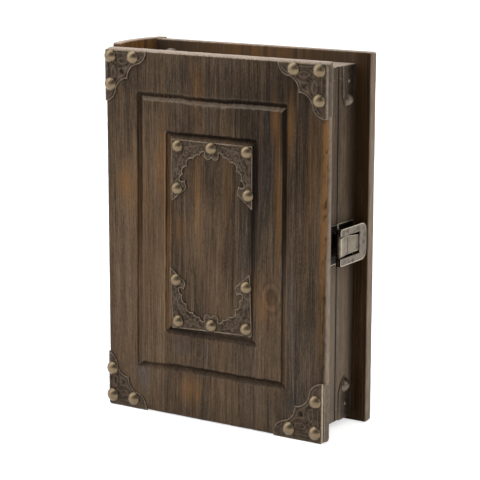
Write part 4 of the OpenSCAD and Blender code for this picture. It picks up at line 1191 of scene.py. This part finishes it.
def camera():
    az, el, roll = radians(AZIMUTH), radians(ELEVATION), radians(ROLL)
    look = np.array([-sin(az) * cos(el), cos(az) * cos(el), -sin(el)])
    right = np.array([cos(az), sin(az), 0.0])
    up = np.cross(right, look)
    right, up = cos(roll) * right + sin(roll) * up, -sin(roll) * right + cos(roll) * up
    at = AIM - DISTANCE * look + SHIFT_RIGHT * right + SHIFT_UP * up
    data = bpy.data.cameras.new("camera")
    data.sensor_width = SENSOR
    data.lens = FOCAL_LENGTH / PHOTO_SIDE * SENSOR
    data.clip_start, data.clip_end = 0.05, 60
    made = placed("camera", data)
    turn = Matrix((tuple(right), tuple(up), tuple(-look))).transposed()
    made.matrix_world = Matrix.Translation(Vector(at * MM + ORIGIN)) @ turn.to_4x4()
    bpy.context.scene.camera = made


def stage():
    """A pale floor that takes the object's shadow, brighter where it is seen or mirrored."""
    g = Graph(bpy.data.materials.new("studio_floor"))
    seen = g.math("MAXIMUM", *g.rays())
    diffuse = g.node("BsdfDiffuse", {"Color": (0.82, 0.82, 0.82)})[0]
    glow = g.node("Emission", {"Color": (1, 1, 1), "Strength": 0.6})[0]
    both = g.node("AddShader", {0: diffuse, 1: glow})[0]
    picked = g.node("MixShader", {0: seen, 1: diffuse, 2: both})[0]
    g.set(g.tree.nodes["Material Output"].inputs["Surface"], picked)
    mesh = bpy.data.meshes.new("floor")
    s = FLOOR_HALF
    mesh.from_pydata([(-s, -s, 0), (s, -s, 0), (s, s, 0), (-s, s, 0)], [], [(0, 1, 2, 3)])
    mesh.materials.append(g.owner)
    floor = placed("floor", mesh)
    floor.location.z = -FLOOR_DROP


def lamp(name, at, size, power):
    """A rectangular lamp at a place in metres, turned to the object."""
    data = bpy.data.lights.new(name, "AREA")
    data.shape, data.size, data.size_y = "RECTANGLE", size[0], size[1]
    data.energy = power
    made = placed(name, data)
    made.location = at
    made.rotation_euler = (Vector(LAMP_AIM) - Vector(at)).to_track_quat("-Z", "Y").to_euler()


def world():
    """White where it is seen, mirrored dimmer the further it lies to the right, and plain light elsewhere."""
    studio = bpy.data.worlds.new("studio")
    bpy.context.scene.world = studio
    g = Graph(studio)
    seen, mirrored = g.rays()
    way = g.node("TexCoord")["Generated"]
    rightward = g.node("VectorMath", {0: way, 1: RIGHTWARD}, operation="DOT_PRODUCT")["Value"]
    dim = g.node("MapRange", {0: rightward, 1: -0.25, 2: 1.0, 3: 1.0, 4: 0.1})[0]
    up = g.node("SeparateXYZ", {0: way})["Z"]
    plain = g.node("MapRange", {0: up, 1: -0.3, 2: 1.0, 3: 0.24, 4: 1.0})[0]
    level = g.node("Mix", {0: mirrored, 2: plain, 3: dim}, data_type="FLOAT")[0]
    level = g.node("Mix", {0: seen, 2: level, 3: 1.0}, data_type="FLOAT")[0]
    background = g.tree.nodes["Background"]
    g.set(background.inputs["Strength"], level)
    g.set(background.inputs["Color"], (1, 1, 1))


camera()
stage()
world()
lamp("key", at=(-1.35, -0.9, 1.0), size=(1.6, 1.6), power=13)
lamp("top", at=(-0.45, -0.3, 1.75), size=(1.5, 1.5), power=15)
lamp("fill", at=(1.5, 0.1, 0.9), size=(1.0, 1.2), power=6)
bpy.context.scene.view_settings.view_transform = "Standard"
